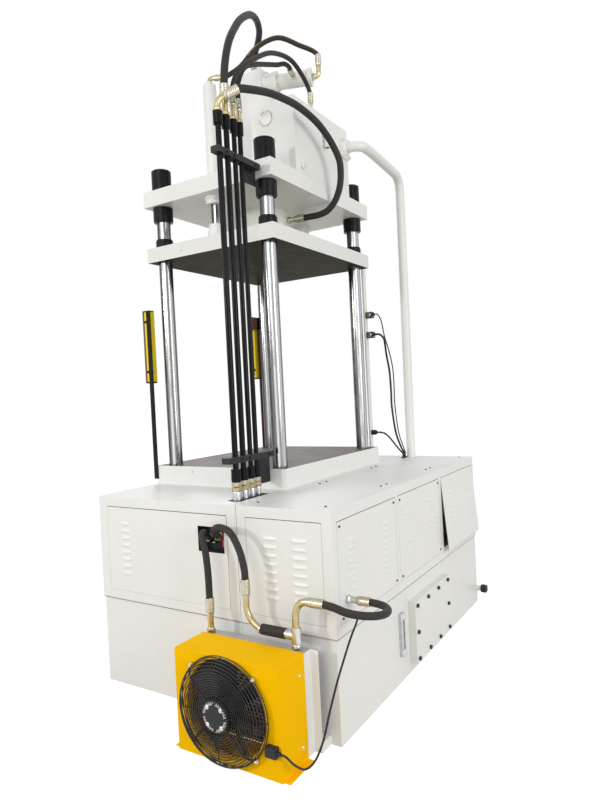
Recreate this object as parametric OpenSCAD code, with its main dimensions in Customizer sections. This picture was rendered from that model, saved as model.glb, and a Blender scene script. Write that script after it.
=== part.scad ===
// Four-column hydraulic press with a raised base, a rear power unit and a floor-standing oil cooler.
// Millimetres. +Z is up, the origin is on the floor on the press axis, -Y is the operator's side.

/* [Base] */
// Length of the base along X
base_len = 2010; // [1900:10:2200]
// Height of the base deck over the floor
base_h = 1000; // [960:10:1050]
// Height of the seam between the plinth and the sheet-metal enclosures
seam_z = 457; // [430:1:470]
// Deck in front of the bed, from the bed's edge to the operator's face of the base
front_margin = 16.5; // [12:0.5:60]
// From the bed's rear edge to the seam between enclosure and power unit
seam_margin = 1.5; // [1:0.5:20]
// Depth of the power unit behind the seam
unit_depth = 505; // [505:5:560]
// Wall of the sheet-metal enclosures, with their inner frame
shell_t = 6; // [5:0.5:8]
// Plate thickness of the plinth
plinth_t = 12; // [10:1:16]
// Step of the plinth and tank behind the enclosure faces
plinth_step = 6; // [2:1:12]

/* [Panels] */
// Height of the removable panels
panel_h = 440; // [400:5:450]
// Bottom edge of the removable panels over the seam
panel_lift = 49; // [40:1:55]
// Sheet thickness of the removable panels
panel_t = 3; // [2:0.5:4]
// Gap round each panel and cover plate
panel_gap = 1; // [0.5:0.1:2]
// Width of the lip behind each panel
panel_lip = 15; // [8:1:20]
// Width of a rear panel
rear_panel_w = 620; // [560:5:630]
// Width of the post between two rear panels
rear_post_w = 35; // [25:1:40]
// Frame left round the front enclosure's side panels
front_side_margin = 62; // [58:1:110]
// Width of the side panel of the power unit
unit_side_w = 400; // [340:1:410]
// Lean of the one rear panel that hangs ajar, in degrees
ajar_angle = 4.6; // [1:0.1:8]
// Height of one louvre hood
louvre_h = 14; // [10:1:18]
// Reach of one louvre hood
louvre_d = 7; // [4:0.5:10]
// Width of one louvre
louvre_w = 62; // [50:1:80]
// Spacing of the louvres on the rear panels
louvre_pitch = 30; // [28:1:32]
// Width of the hose cut-out in the side panel
cutout_w = 160; // [120:5:170]
// Height of the hose cut-out in the side panel
cutout_h = 122; // [90:2:140]

/* [Press frame] */
// Length of the bed along X
bed_len = 1147; // [1120:1:1200]
// Depth of the bed along Y
bed_depth = 917; // [900:1:918]
// Thickness of the bed
bed_t = 109; // [90:1:130]
// From the bed's end to the column axes along X
col_inset_x = 75.5; // [70:0.5:90]
// From the bed's edge to the column axes along Y
col_inset_y = 81.5; // [74:0.5:98]
// Diameter of the columns
col_d = 80; // [70:1:88]
// Height of the crown's underside over the floor
crown_z = 2641; // [2600:1:2750]
// Thickness of the crown
crown_t = 92; // [80:1:120]
// Diameter of the column nuts
nut_d = 116; // [108:1:124]
// Height of the column nuts above the crown
top_nut_h = 128; // [100:1:150]
// Height of the column nuts below the crown
low_nut_h = 88; // [70:1:100]

/* [Slide] */
// Height of the slide's working face at the top of its stroke
slide_z = 2315; // [2280:1:2320]
// From the bed's edge in to the slide's edge along Y
slide_inset_y = 4.5; // [1:0.5:12]
// Thickness of the slide
slide_t = 84; // [70:1:90]
// From the bed's end in to the slide's end along X
slide_inset_x = 7; // [1:0.5:14]
// Stroke of the slide
stroke = 500; // [400:10:540]
// Outside diameter of the guide bush flange
bush_cap_d = 102; // [96:1:110]
// Height of the guide bush flange over the slide
bush_cap_h = 53; // [40:1:60]
// Outside diameter of the guide bush
bush_d = 94; // [92:0.5:100]

/* [Cylinders] */
// Outside diameter of the main cylinder below the crown
main_d = 312; // [300:1:320]
// Outside diameter of the main cylinder above the crown
main_neck_d = 280; // [270:1:290]
// Bore of the main cylinder
main_bore = 220; // [210:1:230]
// Diameter of the main ram
ram_d = 200; // [180:1:206]
// Top of the main cylinder over the floor
main_top = 3345; // [3320:1:3370]
// From the bed's end to the return cylinders' axes
return_inset = 107.5; // [94:0.5:130]
// Outside diameter of the return cylinders
return_d = 76; // [70:1:80]
// Diameter of the return rods
return_rod_d = 52; // [44:1:54]
// Top of the return cylinders over the floor
return_top = 3275; // [3240:1:3300]

/* [Fill tank and pipes] */
// Length of the fill tank along X
tank_len = 635; // [600:1:660]
// Gap between the main cylinder and the fill tank
tank_gap = 15.5; // [14:0.5:40]
// Height of the fill tank
tank_height = 415; // [390:1:430]
// Outside diameter of the return pipe
return_pipe_d = 62; // [50:1:64]
// From the bed's rear edge to the plane of the pressure pipes
pipe_inset = 73.5; // [69:0.5:83]
// Top of the pressure pipes over the floor
pipe_top = 2868; // [2840:1:2900]
// Outside diameter of the two larger pressure pipes
big_pipe_d = 29; // [24:0.5:32]
// Outside diameter of the two smaller pressure pipes
small_pipe_d = 25; // [20:0.5:28]

/* [Cooler] */
// Width of the cooler shroud along Y
cooler_w = 538; // [500:1:560]
// Height of the cooler shroud
cooler_h = 438; // [434:1:460]
// Depth of the cooler shroud along X
cooler_depth = 190; // [180:1:220]
// Distance from the base to the cooler shroud
cooler_gap = 125; // [120:1:140]
// Centre of the cooler along Y
cooler_y = 606; // [590:1:620]
// Radius of the fan opening
fan_hole_r = 205; // [195:1:208]
// Radius of the fan over its blade tips
fan_r = 198; // [180:1:200]
// Radius of the wire guard
guard_r = 222; // [220:1:224]
// Number of fan blades
blade_count = 7; // [5:1:9]
// Wire diameter of the guard
guard_wire = 4.4; // [3.5:0.1:5]

/* [Guarding and sensors] */
// Height of the light curtain bodies
curtain_h = 420; // [380:5:440]
// Lower end of the light curtain bodies over the floor
curtain_z = 1610; // [1560:5:1640]
// Leg width of the brown curtain post
post_leg = 60; // [50:1:65]
// Length of the position sensors
sensor_len = 62; // [50:1:70]

/* [Hidden] */
$fn = 64;
slack = 0.3;        // gap round a plain hole
running = 0.05;     // radial gap of a sliding or turning fit
cream = "#e9e6da";
black_steel = "#17181a";
brass = "#b79a55";

base_x = base_len / 2;
front_y = bed_depth / 2 + front_margin;
seam_y = bed_depth / 2 + seam_margin;
col_x = bed_len / 2 - col_inset_x;
col_y = bed_depth / 2 - col_inset_y;
slide_depth = bed_depth - 2 * slide_inset_y;
slide_len = bed_len - 2 * slide_inset_x;
return_x = bed_len / 2 - return_inset;
pipe_y = bed_depth / 2 - pipe_inset;
rear_y = seam_y + unit_depth;
plinth_x = base_x - plinth_step;
tank_rear_y = rear_y - plinth_step;
panel_z = seam_z + panel_lift;
lid_t = 10;
deck_hole_x = bed_len / 2 - 6;
deck_hole_y = bed_depth / 2 - 6;
pedestal_t = 8;
bed_top = base_h + bed_t;
crown_top = crown_z + crown_t;
slide_top = slide_z + slide_t;
plate_depth = bed_depth + 2;
plate_len = bed_len - 2;

front_side_y = seam_y - 60;
front_side_w = front_y + seam_y - 2 * front_side_margin;
unit_side_y = rear_y - 53;
rear_panel_x = [for (i = [1, 0, -1]) i * (rear_panel_w + rear_post_w)];
cover_depth = 425;
cover_w = 646;
cover_mid = -16;
cover_y = seam_y + 45;
cover_x = [for (i = [1, 0, -1]) cover_mid + i * (cover_w + panel_gap)];

gland_h = 60;
gland_z = 2500;
piston_h = 80;
piston_top = 3200;
return_flange_h = 46;
return_piston_h = 40;
return_piston_top = return_top - 35;
anchor_h = 82;

tank_x0 = -tank_len / 2;
tank_y0 = main_d / 2 + tank_gap;
tank_depth = plate_depth / 2 - tank_y0;
tank_top = crown_top + tank_height;
head_block = 190;
head_block_h = 140;
head_at = [20, 20];
valve_yaw = 20;
valve_d = 92;
valve_at = [60, 80, main_top + 65];
valve_dir = [-sin(valve_yaw), cos(valve_yaw), 0];
valve_side = [cos(valve_yaw), sin(valve_yaw), 0];
valve_end = 320;
valve_port = 212;
valve_corner = valve_at + (valve_end + 42) * valve_dir;
port_angle = 98;
port_dir = [cos(port_angle), sin(port_angle), 0];
port_z = 2576;
port_r = main_d / 2 + 16;

pipe_x = [893, 832, 772, 722];
pipe_d = [big_pipe_d, big_pipe_d, small_pipe_d, small_pipe_d];
pipe_foot = base_h + 89;
sleeve_h = 62;
sleeve_d = [48, 44, 40, 38];
slot_x = [665, 930];
slot_y = [pipe_y - 40, pipe_y + 40];

cooler_x0 = base_x + cooler_gap;
cooler_x1 = cooler_x0 + cooler_depth;
fan_z = 228;
fan_y = cooler_y - 4;
port_x = cooler_x0 - 28;
port_y = [cooler_y - 246, cooler_y + 219];

// Routes of hoses, cables and the return pipe, chosen by hand
// Two points at each end lie on the fitting's axis
wall_hose_y = [front_side_y - 120, front_side_y - 55];
recess_back = base_x - 60;
union_z = 490;
route_fill = [
    [pipe_x[1], pipe_y, 2960], [pipe_x[1], pipe_y, 3010], [815, 385, 3130], [770, 378, 3250],
    [690, 355, 3360],
    [570, 315, 3485], [390, 250, 3620], [270, 210, 3665], [170, 160, 3665], [100, 100, 3650], [55, 45, 3625],
    [40, 20, 3590], [40, 20, 3550]
];
route_return = [
    [return_x - 36, 26, 3322], [return_x - 72, 52, 3332], [310, 110, 3410], [220, 170, 3540],
    [110, 250, 3620], [-10, 330, 3600],
    [-60, 390, 3570], [valve_corner[0], valve_corner[1], 3530], [valve_corner[0], valve_corner[1], 3490]
];
route_prefill = [
    [pipe_x[2], pipe_y, 2950], [pipe_x[2], pipe_y, 3000], [755, 398, 3080], [690, 412, 3165],
    [480, 400, 3315],
    [330, 385, 3385], [195, 378, 3415], [100, 375, 3400], [20, 380, 3345], [-10, 385, 3290], [-10, 385, 3250]
];
route_pilot = [
    [pipe_x[3], pipe_y, 2940], [pipe_x[3], pipe_y, 2990], [710, 383, 3080], [645, 378, 3180],
    [520, 360, 3255],
    [380, 340, 3320], [270, 338, 3365], [200, 342, 3398],
    valve_at + valve_port * valve_dir + 160 * valve_side,
    valve_at + valve_port * valve_dir + 110 * valve_side
];
route_main = [
    [862, 425, 2950], [831, 465, 2975], [750, 490, 2995], [615, 505, 3025], [490, 520, 3035],
    [370, 530, 3035],
    [225, 550, 3000], [100, 560, 2940], [30, 575, 2855], [10, 575, 2785], [-10, 555, 2705], [-30, 510, 2635],
    [-42, 450, 2590], [-50, 385, 2577], [320 * port_dir[0], 320 * port_dir[1], port_z],
    [242 * port_dir[0], 242 * port_dir[1], port_z]
];
route_cooler_in = [
    [1000, wall_hose_y[0] + 5, 835], [1040, wall_hose_y[0] + 13, 867], [1085, 320, 862], [1102, 350, 790],
    [1104, 360, 700], [port_x, port_y[0], 600], [port_x, port_y[0], 530]
];
route_cooler_out = [
    [1000, wall_hose_y[1] + 2, 845], [1040, wall_hose_y[1] + 5.2, 877], [1075, 410, 908], [1092, 490, 895],
    [1100, 545, 820], [1102, 568, 740], [port_x, 570, 690], [port_x, 570, 640]
];
route_cooler_tank = [
    [port_x, 910, 640], [port_x, 960, 640], [1113, 1020, 638], [1127, 1080, 632], [1112, 1138, 624],
    [1070, 1180, 615], [1012, 1196, 607], [954, 1180, 602], [913, 1138, 600], [900, 1085, 600],
    [900, 1030, 600]
];
route_fan = [
    [1335, 880, 125], [1335, 905, 122], [1312, 928, 85], [1255, 938, 42], [1190, 945, 45], [1150, 962, 110],
    [1140, 990, 220], [1120, 1020, 340], [1090, 1045, 440], [1040, 1050, 500], [970, 1040, 530],
    [915, 1020, 540], [905, 1005, 540], [905, 985, 540]
];
route_sensor_upper = [
    [-597, 466, 2005], [-597, 488, 2003], [-612, 505, 1960], [-622, 512, 1900], [-655, 508, 1845],
    [-742, 500, 1740], [-786, 500, 1620], [-778, 505, 1480], [-774, 507, 1369], [-800, 513, 1194],
    [-858, 518, 1085], [-900, 514, 1040], [-900, 514, 1008]
];
route_sensor_middle = [
    [-597, 466, 1870], [-597, 482, 1870], [-604, 502, 1862], [-628, 512, 1838], [-672, 500, 1792],
    [-727, 482, 1729], [-768, 480, 1621],
    [-762, 488, 1480], [-758, 490, 1369], [-785, 498, 1194], [-845, 506, 1085], [-880, 514, 1035],
    [-880, 514, 1008]
];
route_sensor_lower = [
    [-597, 444, 1205], [-597, 460, 1205], [-604, 478, 1202], [-630, 488, 1192], [-672, 488, 1174],
    [-725, 487, 1146], [-790, 490, 1100],
    [-840, 502, 1055], [-860, 514, 1032], [-860, 514, 1008]
];
return_at = [53 - plinth_x, seam_y + 80];
pipe_port = [tank_x0 + 48, plate_depth / 2, 3022];
route_return_pipe = [
    [pipe_port[0], pipe_port[1] + 6, pipe_port[2]], [pipe_port[0], 502, 3023], [-280, 537, 3024],
    [-305, 562, 3025], [-340, 572, 3025], [-480, 568, 3024], [-620, 561, 3019], [-760, 553, 3015],
    [-868, 548, 3009], [-915, 545, 2997], [-948, 543, 2964], [-960, 542, 2920], [-960, 542, 2800],
    [-955, 541, 1900], [return_at[0], return_at[1], base_h + 300],
    [return_at[0], return_at[1], base_h], [return_at[0], return_at[1], seam_z]
];

// Sweeping: a smooth curve through the route's points, then one closed tube along it
function blend(a, b, c, d, t) =
    0.5 * ((2 * b) + (c - a) * t + (2 * a - 5 * b + 4 * c - d) * t * t
        + (3 * b - a - 3 * c + d) * t * t * t);
function smooth(p, n) = [
    for (i = [0 : len(p) - 2]) for (k = [0 : n - 1])
        blend(p[max(i - 1, 0)], p[i], p[i + 1], p[min(i + 2, len(p) - 1)], k / n),
    p[len(p) - 1]
];
function unit(v) = v / norm(v);
function heading(p, path, i) =
    i == 0 ? unit(p[1] - p[0])
    : i == len(path) - 1 ? unit(p[len(p) - 1] - p[len(p) - 2])
    : unit(path[i + 1] - path[i - 1]);
function across(v) = unit(cross(v, abs(v[2]) < 0.9 ? [0, 0, 1] : [1, 0, 0]));
function carried(p, path, i, prev) =
    i == len(path) ? []
    : let (t = heading(p, path, i), n = unit(prev - (prev * t) * t)) concat([n], carried(p, path, i + 1, n));

module tube(p, d, steps, sides) {
    path = smooth(p, steps);
    last = len(path) - 1;
    side = carried(p, path, 0, across(heading(p, path, 0)));
    points = [
        for (i = [0 : last]) let (t = heading(p, path, i), b = cross(t, side[i]))
            for (k = [0 : sides - 1])
                path[i] + d / 2 * (cos(360 * k / sides) * side[i] + sin(360 * k / sides) * b)
    ];
    walls = [
        for (i = [0 : last - 1]) for (k = [0 : sides - 1]) for (half = [0, 1])
            let (a = i * sides + k, b = i * sides + (k + 1) % sides)
                half == 0 ? [a, a + sides, b] : [b, a + sides, b + sides]
    ];
    ends = [[for (k = [0 : sides - 1]) k], [for (k = [sides - 1 : -1 : 0]) last * sides + k]];
    polyhedron(points = points, faces = concat(walls, ends));
}

// General shapes
module ring(r_out, r_in, h) {
    difference() {
        cylinder(r = r_out, h = h);
        translate([0, 0, -1]) cylinder(r = r_in, h = h + 2);
    }
}
module block(x0, x1, y0, y1, z0, z1) {
    translate([x0, y0, z0]) cube([x1 - x0, y1 - y0, z1 - z0]);
}
module towards(from, to) {
    d = to - from;
    translate(from)
        rotate([0, acos(d[2] / norm(d)), atan2(d[1], d[0])])
            children();
}
module at_columns() {
    for (sx = [-1, 1])
        for (sy = [-1, 1])
            translate([sx * col_x, sy * col_y, 0])
                children();
}
module hex_nut(across_flats, h) {
    cylinder(d = across_flats / cos(30), h = h, $fn = 6);
}

// One louvre: a pressed hood over a slot, drawn on the sheet's outer face, which is the plane y = 0
module louvre_hood(w) {
    rotate([90, 0, 90])
        linear_extrude(w)
            polygon([[0, 0], [louvre_d, 0], [louvre_d, 2], [0, louvre_h]]);
}
module louvre_slot(w) {
    wall = 1.2;
    translate([wall, 0, 0])
        rotate([90, 0, 90])
            linear_extrude(w - 2 * wall)
                polygon([[-panel_t - 1, -1], [louvre_d - wall, -1], [louvre_d - wall, 1],
                    [-panel_t - 1, louvre_h]]);
}

// Flat panel, outer face at y = 0 and sheet behind it, with louvre columns centred at each x in cols
module panel(w, h, cols, count, z0, pitch, lw) {
    difference() {
        union() {
            translate([0, -panel_t, 0]) cube([w, panel_t, h]);
            for (x = cols)
                for (i = [0 : count - 1])
                    translate([x - lw / 2, 0, z0 + i * pitch])
                        louvre_hood(lw);
        }
        for (x = cols)
            for (i = [0 : count - 1])
                translate([x - lw / 2, 0, z0 + i * pitch])
                    louvre_slot(lw);
    }
}

// Seat for a flush panel in a wall whose outer face is y = 0: a shallow rebate and a window through the lip
module panel_seat(w, h) {
    translate([-panel_gap, -panel_t, -panel_gap]) cube([w + 2 * panel_gap, panel_t + 1, h + 2 * panel_gap]);
    translate([panel_lip, -3 * shell_t, panel_lip])
        cube([w - 2 * panel_lip, 4 * shell_t, h - 2 * panel_lip]);
}

// Places for the base's panels: local +Y points out of the wall
module on_right(y_high) { translate([base_x, y_high, panel_z]) rotate(-90) children(); }
module on_left(y_low) { translate([-base_x, y_low, panel_z]) rotate(90) children(); }
module on_rear(x_low) { translate([x_low, rear_y, panel_z]) children(); }
module on_front(x_high) { translate([x_high, -front_y, panel_z]) rotate(180) children(); }

module press_base() {
    color(cream) {
        difference() {
            block(-plinth_x, plinth_x, -front_y + plinth_step, seam_y, 0, seam_z);
            block(-plinth_x + plinth_t, plinth_x - plinth_t, -front_y + plinth_step + plinth_t,
                seam_y - plinth_t, plinth_t, seam_z + 1);
        }
        // Pedestal that carries the bed, with room inside for the lower column nuts
        difference() {
            block(-deck_hole_x, deck_hole_x, -deck_hole_y, deck_hole_y, plinth_t - 1, base_h);
            block(-deck_hole_x + pedestal_t, deck_hole_x - pedestal_t, -deck_hole_y + pedestal_t,
                deck_hole_y - pedestal_t, plinth_t - 2, base_h + 1);
        }
    }
}

front_panel_x = [base_x - 60, -60];
front_panel_w = 885;

module front_enclosure() {
    color(cream)
        difference() {
            block(-base_x, base_x, -front_y, seam_y, seam_z, base_h);
            block(-base_x + shell_t, base_x - shell_t, -front_y + shell_t, seam_y + 1,
                seam_z - 1, base_h - shell_t);
            block(-deck_hole_x - slack, deck_hole_x + slack, -deck_hole_y - slack, deck_hole_y + slack,
                base_h - 2 * shell_t, base_h + 1);
            pipe_slot();
            on_right(front_side_y) panel_seat(front_side_w, panel_h);
            on_left(front_side_y - front_side_w) panel_seat(front_side_w, panel_h);
            for (x = front_panel_x) on_front(x) panel_seat(front_panel_w, panel_h);
        }
}

// Slot in the deck under the pressure pipes
module pipe_slot() {
    block(slot_x[0], slot_x[1], slot_y[0], slot_y[1], base_h - 2 * shell_t, base_h + 1);
}

// Side panels of enclosure and power unit. The one on +X has a recessed box where the cooler hoses leave.
module side_panels() {
    louvre_x = 680;
    cut_x = panel_lip + 3;
    cut_z = 260;
    recess = base_x - recess_back;
    wall = 2;
    cols = [116, 270];
    color(cream) {
        on_right(front_side_y)
            difference() {
                union() {
                    panel(front_side_w, panel_h, [louvre_x], 8, 92, 37, louvre_w);
                    block(cut_x - wall, cut_x + cutout_w + wall, -recess - wall, -panel_t,
                        cut_z - wall, cut_z + cutout_h + wall);
                }
                block(cut_x, cut_x + cutout_w, -recess, 1, cut_z, cut_z + cutout_h);
            }
        on_right(unit_side_y) panel(unit_side_w, panel_h, cols, 8, 84, 38, louvre_w + 12);
        on_left(unit_side_y - unit_side_w) panel(unit_side_w, panel_h, cols, 8, 84, 38, louvre_w + 12);
    }
}

module far_access_panels() {
    color(cream) {
        on_left(front_side_y - front_side_w) panel(front_side_w, panel_h, [131], 8, 92, 37, louvre_w);
        for (x = front_panel_x)
            on_front(x)
                panel(front_panel_w, panel_h, [128, front_panel_w - 128], 9, 96, louvre_pitch, louvre_w);
    }
}

cleanout_x = [-310, 225];
cleanout_z = [48, 375];
cleanout_d = 40;
groove_x = -plinth_x + 24;

module oil_tank() {
    wall = 6;
    color(cream)
        difference() {
            block(-plinth_x, plinth_x, seam_y, tank_rear_y, 0, seam_z - lid_t);
            block(-plinth_x + wall, plinth_x - wall, seam_y + wall, tank_rear_y - wall, wall, seam_z);
            block(cleanout_x[0] + 40, cleanout_x[1] - 40, tank_rear_y - 2 * wall, tank_rear_y + 1,
                cleanout_z[0] + 40, cleanout_z[1] - 40);
            block(groove_x, groove_x + 4, tank_rear_y - 3, tank_rear_y + 1, -1, seam_z);
        }
}

module tank_lid() {
    color(cream) block(-plinth_x, plinth_x, seam_y, tank_rear_y, seam_z - lid_t, seam_z);
}

// Raised clean-out cover: a folded box with a closed face
module clean_out_cover() {
    wall = 6;
    color(cream)
        difference() {
            block(cleanout_x[0], cleanout_x[1], tank_rear_y, tank_rear_y + cleanout_d,
                cleanout_z[0], cleanout_z[1]);
            block(cleanout_x[0] + wall, cleanout_x[1] - wall, tank_rear_y - 1,
                tank_rear_y + cleanout_d - wall,
                cleanout_z[0] + wall, cleanout_z[1] - wall);
        }
}

gauge_x = 335;
gauge_z = [133, 352];
module level_gauge() {
    color("#d8d8d4")
        difference() {
            block(gauge_x - 24, gauge_x + 24, tank_rear_y, tank_rear_y + 20, gauge_z[0], gauge_z[1]);
            block(gauge_x - 12, gauge_x + 12, tank_rear_y + 8, tank_rear_y + 21,
                gauge_z[0] + 34, gauge_z[1] - 34);
        }
    color("#9aa39a")
        translate([gauge_x, tank_rear_y + 14, gauge_z[0] + 33])
            cylinder(r = 5, h = gauge_z[1] - gauge_z[0] - 66);
}

drain_at = [-plinth_x + 12, 90];
module drain_cap() {
    color(cream)
        translate([drain_at[0], tank_rear_y, drain_at[1]])
            rotate([-90, 0, 0])
                cylinder(r = 18, h = 34);
    color(black_steel)
        translate([drain_at[0], tank_rear_y + 34, drain_at[1]])
            rotate([-90, 0, 0])
                difference() {
                    cylinder(r = 27, h = 36);
                    translate([0, 0, 30]) hex_nut(22, 10);
                }
}

// Seat of the three flush cover plates in the housing's top: one rebate with a window under each plate
module cover_seats() {
    block(cover_x[2] - cover_w / 2 - panel_gap, cover_x[0] + cover_w / 2 + panel_gap,
        cover_y - panel_gap, cover_y + cover_depth + panel_gap, base_h - panel_t, base_h + 1);
    for (x = cover_x)
        block(x - cover_w / 2 + panel_lip, x + cover_w / 2 - panel_lip,
            cover_y + panel_lip, cover_y + cover_depth - panel_lip, base_h - 2 * shell_t, base_h + 1);
}

module power_unit_housing() {
    color(cream)
        difference() {
            block(-base_x, base_x, seam_y, rear_y, seam_z, base_h);
            block(-base_x + shell_t, base_x - shell_t, seam_y - 1, rear_y - shell_t,
                seam_z - 1, base_h - shell_t);
            on_right(unit_side_y) panel_seat(unit_side_w, panel_h);
            on_left(unit_side_y - unit_side_w) panel_seat(unit_side_w, panel_h);
            for (x = rear_panel_x) on_rear(x - rear_panel_w / 2) panel_seat(rear_panel_w, panel_h);
            cover_seats();
            return_pipe_hole();
        }
}

rear_cols = [128, rear_panel_w - 128];
module rear_panels() {
    color(cream)
        for (i = [0, 1])
            on_rear(rear_panel_x[i] - rear_panel_w / 2)
                panel(rear_panel_w, panel_h, rear_cols, 9, 95, louvre_pitch, louvre_w);
}

// The third panel hangs by its top edge and leans out at the bottom
module rear_panel_ajar() {
    color(cream)
        on_rear(rear_panel_x[2] - rear_panel_w / 2)
            translate([0, -panel_t, panel_h - 1])
                rotate([ajar_angle, 0, 0])
                    translate([0, panel_t, -panel_h])
                        panel(rear_panel_w, panel_h, rear_cols, 9, 95, louvre_pitch, louvre_w);
}

grommet_x = [-912, -846];
grommet_y = cover_y + 19;
module return_pipe_hole() {
    translate([return_at[0], return_at[1], base_h - 3 * shell_t])
        cylinder(d = return_pipe_d + 2 * slack, h = 4 * shell_t);
}
module top_cover_plates() {
    color(cream)
        for (x = cover_x)
            difference() {
                block(x - cover_w / 2, x + cover_w / 2, cover_y, cover_y + cover_depth,
                    base_h - panel_t, base_h);
                return_pipe_hole();
                block(grommet_x[0] - slack, grommet_x[1] + slack, cover_y - 1, grommet_y + slack,
                    base_h - 2 * panel_t, base_h + 1);
            }
}

screw_in = 22;
module screw_head(d, h) {
    rotate([-90, 0, 0])
        difference() {
            cylinder(d = d, h = h);
            translate([0, 0, h / 2]) hex_nut(d * 0.42, h);
        }
}
module panel_corners(w) {
    for (x = [screw_in, w - screw_in])
        for (z = [screw_in, panel_h - screw_in])
            translate([x, 0, z])
                screw_head(11, 4);
}
module panel_screws() {
    color(black_steel) {
        for (i = [0, 1]) on_rear(rear_panel_x[i] - rear_panel_w / 2) panel_corners(rear_panel_w);
        for (x = [cover_x[0] + 287, cover_x[0] - 287, cover_x[1] + 287, cover_x[1] - 287, cover_x[2] + 287])
            cover_screw(x, cover_y + screw_in);
        for (x = cover_x) for (s = [-1, 1]) cover_screw(x + s * 287, cover_y + cover_depth - 40);
        // Motor bolts on the fan guard's hub
        for (a = [0 : 90 : 270])
            translate([guard_hub_x, fan_y, fan_z])
                rotate([a, 0, 0])
                    translate([0, 52, 0])
                        rotate([0, 90, 0])
                            hex_nut(10, 5);
        // Clean-out cover bolts: four above, four below, one half way up each side
        for (i = [0 : 3])
            for (z = [cleanout_z[0] + 24, cleanout_z[1] - 24])
                cover_bolt(cleanout_x[0] + 26 + i * (cleanout_x[1] - cleanout_x[0] - 52) / 3, z);
        for (x = [cleanout_x[0] + 26, cleanout_x[1] - 26])
            cover_bolt(x, (cleanout_z[0] + cleanout_z[1]) / 2);
    }
}
module cover_screw(x, y) {
    translate([x, y, base_h]) rotate([90, 0, 0]) screw_head(11, 4);
}
module cover_bolt(x, z) {
    translate([x, tank_rear_y + cleanout_d, z])
        rotate([-90, 0, 0])
            hex_nut(19, 11);
}

// Power unit on the tank lid: motor, bell housing and pump on one axis along X
drive_y = seam_y + 270;
drive_z = seam_z + 190;
motor_x = [180, 600];
bell_x = [60, 180];
pump_x = [-90, 60];
shaft_r = 21;
module along_x(x) { translate([x, drive_y, drive_z]) rotate([0, 90, 0]) children(); }

module electric_motor() {
    r = 150;
    color("#4a6f8c")
        difference() {
            union() {
                along_x(motor_x[0]) cylinder(r = r, h = motor_x[1] - motor_x[0] - 60);
                along_x(motor_x[1] - 60) cylinder(r1 = r, r2 = r - 12, h = 60);
                for (a = [-60 : 15 : 60])
                    for (side = [-1, 1])
                        translate([motor_x[0] + 40, drive_y, drive_z])
                            rotate([a, 0, 0])
                                block(0, 280, side * r - 14, side * r + 14, -2, 2);
                for (side = [-1, 1])
                    block(motor_x[0] + 70, motor_x[1] - 90, drive_y + side * 120 - 30,
                        drive_y + side * 120 + 30,
                        seam_z, drive_z - 60);
                block(motor_x[0] + 130, motor_x[0] + 260, drive_y - 60, drive_y + 60,
                    drive_z + 120, drive_z + 215);
            }
            along_x(motor_x[0] - 1) cylinder(r = shaft_r + running, h = 72);
        }
}

module bell_housing() {
    color("#8f9498")
        difference() {
            union() {
                along_x(bell_x[0]) cylinder(r = 100, h = 16);
                along_x(bell_x[0]) cylinder(r = 86, h = bell_x[1] - bell_x[0]);
                along_x(bell_x[1] - 18) cylinder(r = 145, h = 18);
            }
            along_x(bell_x[0] - 1) cylinder(r = 76, h = bell_x[1] - bell_x[0] + 2);
        }
}

module gear_pump() {
    color("#6d7276")
        difference() {
            union() {
                along_x(bell_x[0] - 18) cylinder(r = 96, h = 18);
                block(pump_x[0], pump_x[1] - 18, drive_y - 60, drive_y + 60, drive_z - 75, drive_z + 75);
                translate([-20, drive_y, drive_z + 75]) cylinder(r = 24, h = 30);
                translate([-20, drive_y, drive_z - 110]) cylinder(r = 30, h = 36);
            }
            along_x(pump_x[1] - 60) cylinder(r = shaft_r + running, h = 61);
        }
}

// Shaft stubs of motor and pump with the two coupling halves and the star between them
module drive_coupling() {
    color("#9c2f2a") {
        along_x(pump_x[1] - 58) cylinder(r = shaft_r, h = motor_x[0] + 68 - pump_x[1] + 58);
        along_x(84) cylinder(r = 52, h = 34);
        along_x(117) cylinder(r = 46, h = 12);
        along_x(128) cylinder(r = 52, h = 34);
    }
}

module valve_manifold() {
    color("#7b8084") {
        block(-640, -380, 640, 800, seam_z, seam_z + 150);
        for (i = [0 : 3]) {
            block(-630 + i * 64, -580 + i * 64, 680, 760, seam_z + 149, seam_z + 210);
            translate([-605 + i * 64, 610, seam_z + 180])
                rotate([-90, 0, 0])
                    cylinder(r = 20, h = 220);
        }
    }
}

module bed() {
    color(cream)
        difference() {
            block(-bed_len / 2, bed_len / 2, -bed_depth / 2, bed_depth / 2, base_h, bed_top);
            at_columns() translate([0, 0, base_h - 1]) cylinder(d = col_d + 2 * slack, h = bed_t + 2);
        }
    color("#a8a8a4")
        translate([bed_len / 2, -185, bed_top - 30])
            rotate([0, 90, 0])
                cylinder(d = 14, h = 6);
}

col_bottom = base_h - 110;
col_top = crown_top + top_nut_h - 10;
module columns() {
    color("#c9ccd0")
        at_columns() {
            translate([0, 0, col_bottom]) cylinder(d = col_d, h = col_top - col_bottom - 6);
            translate([0, 0, col_top - 6]) cylinder(d1 = col_d, d2 = col_d - 12, h = 6);
        }
}

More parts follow.
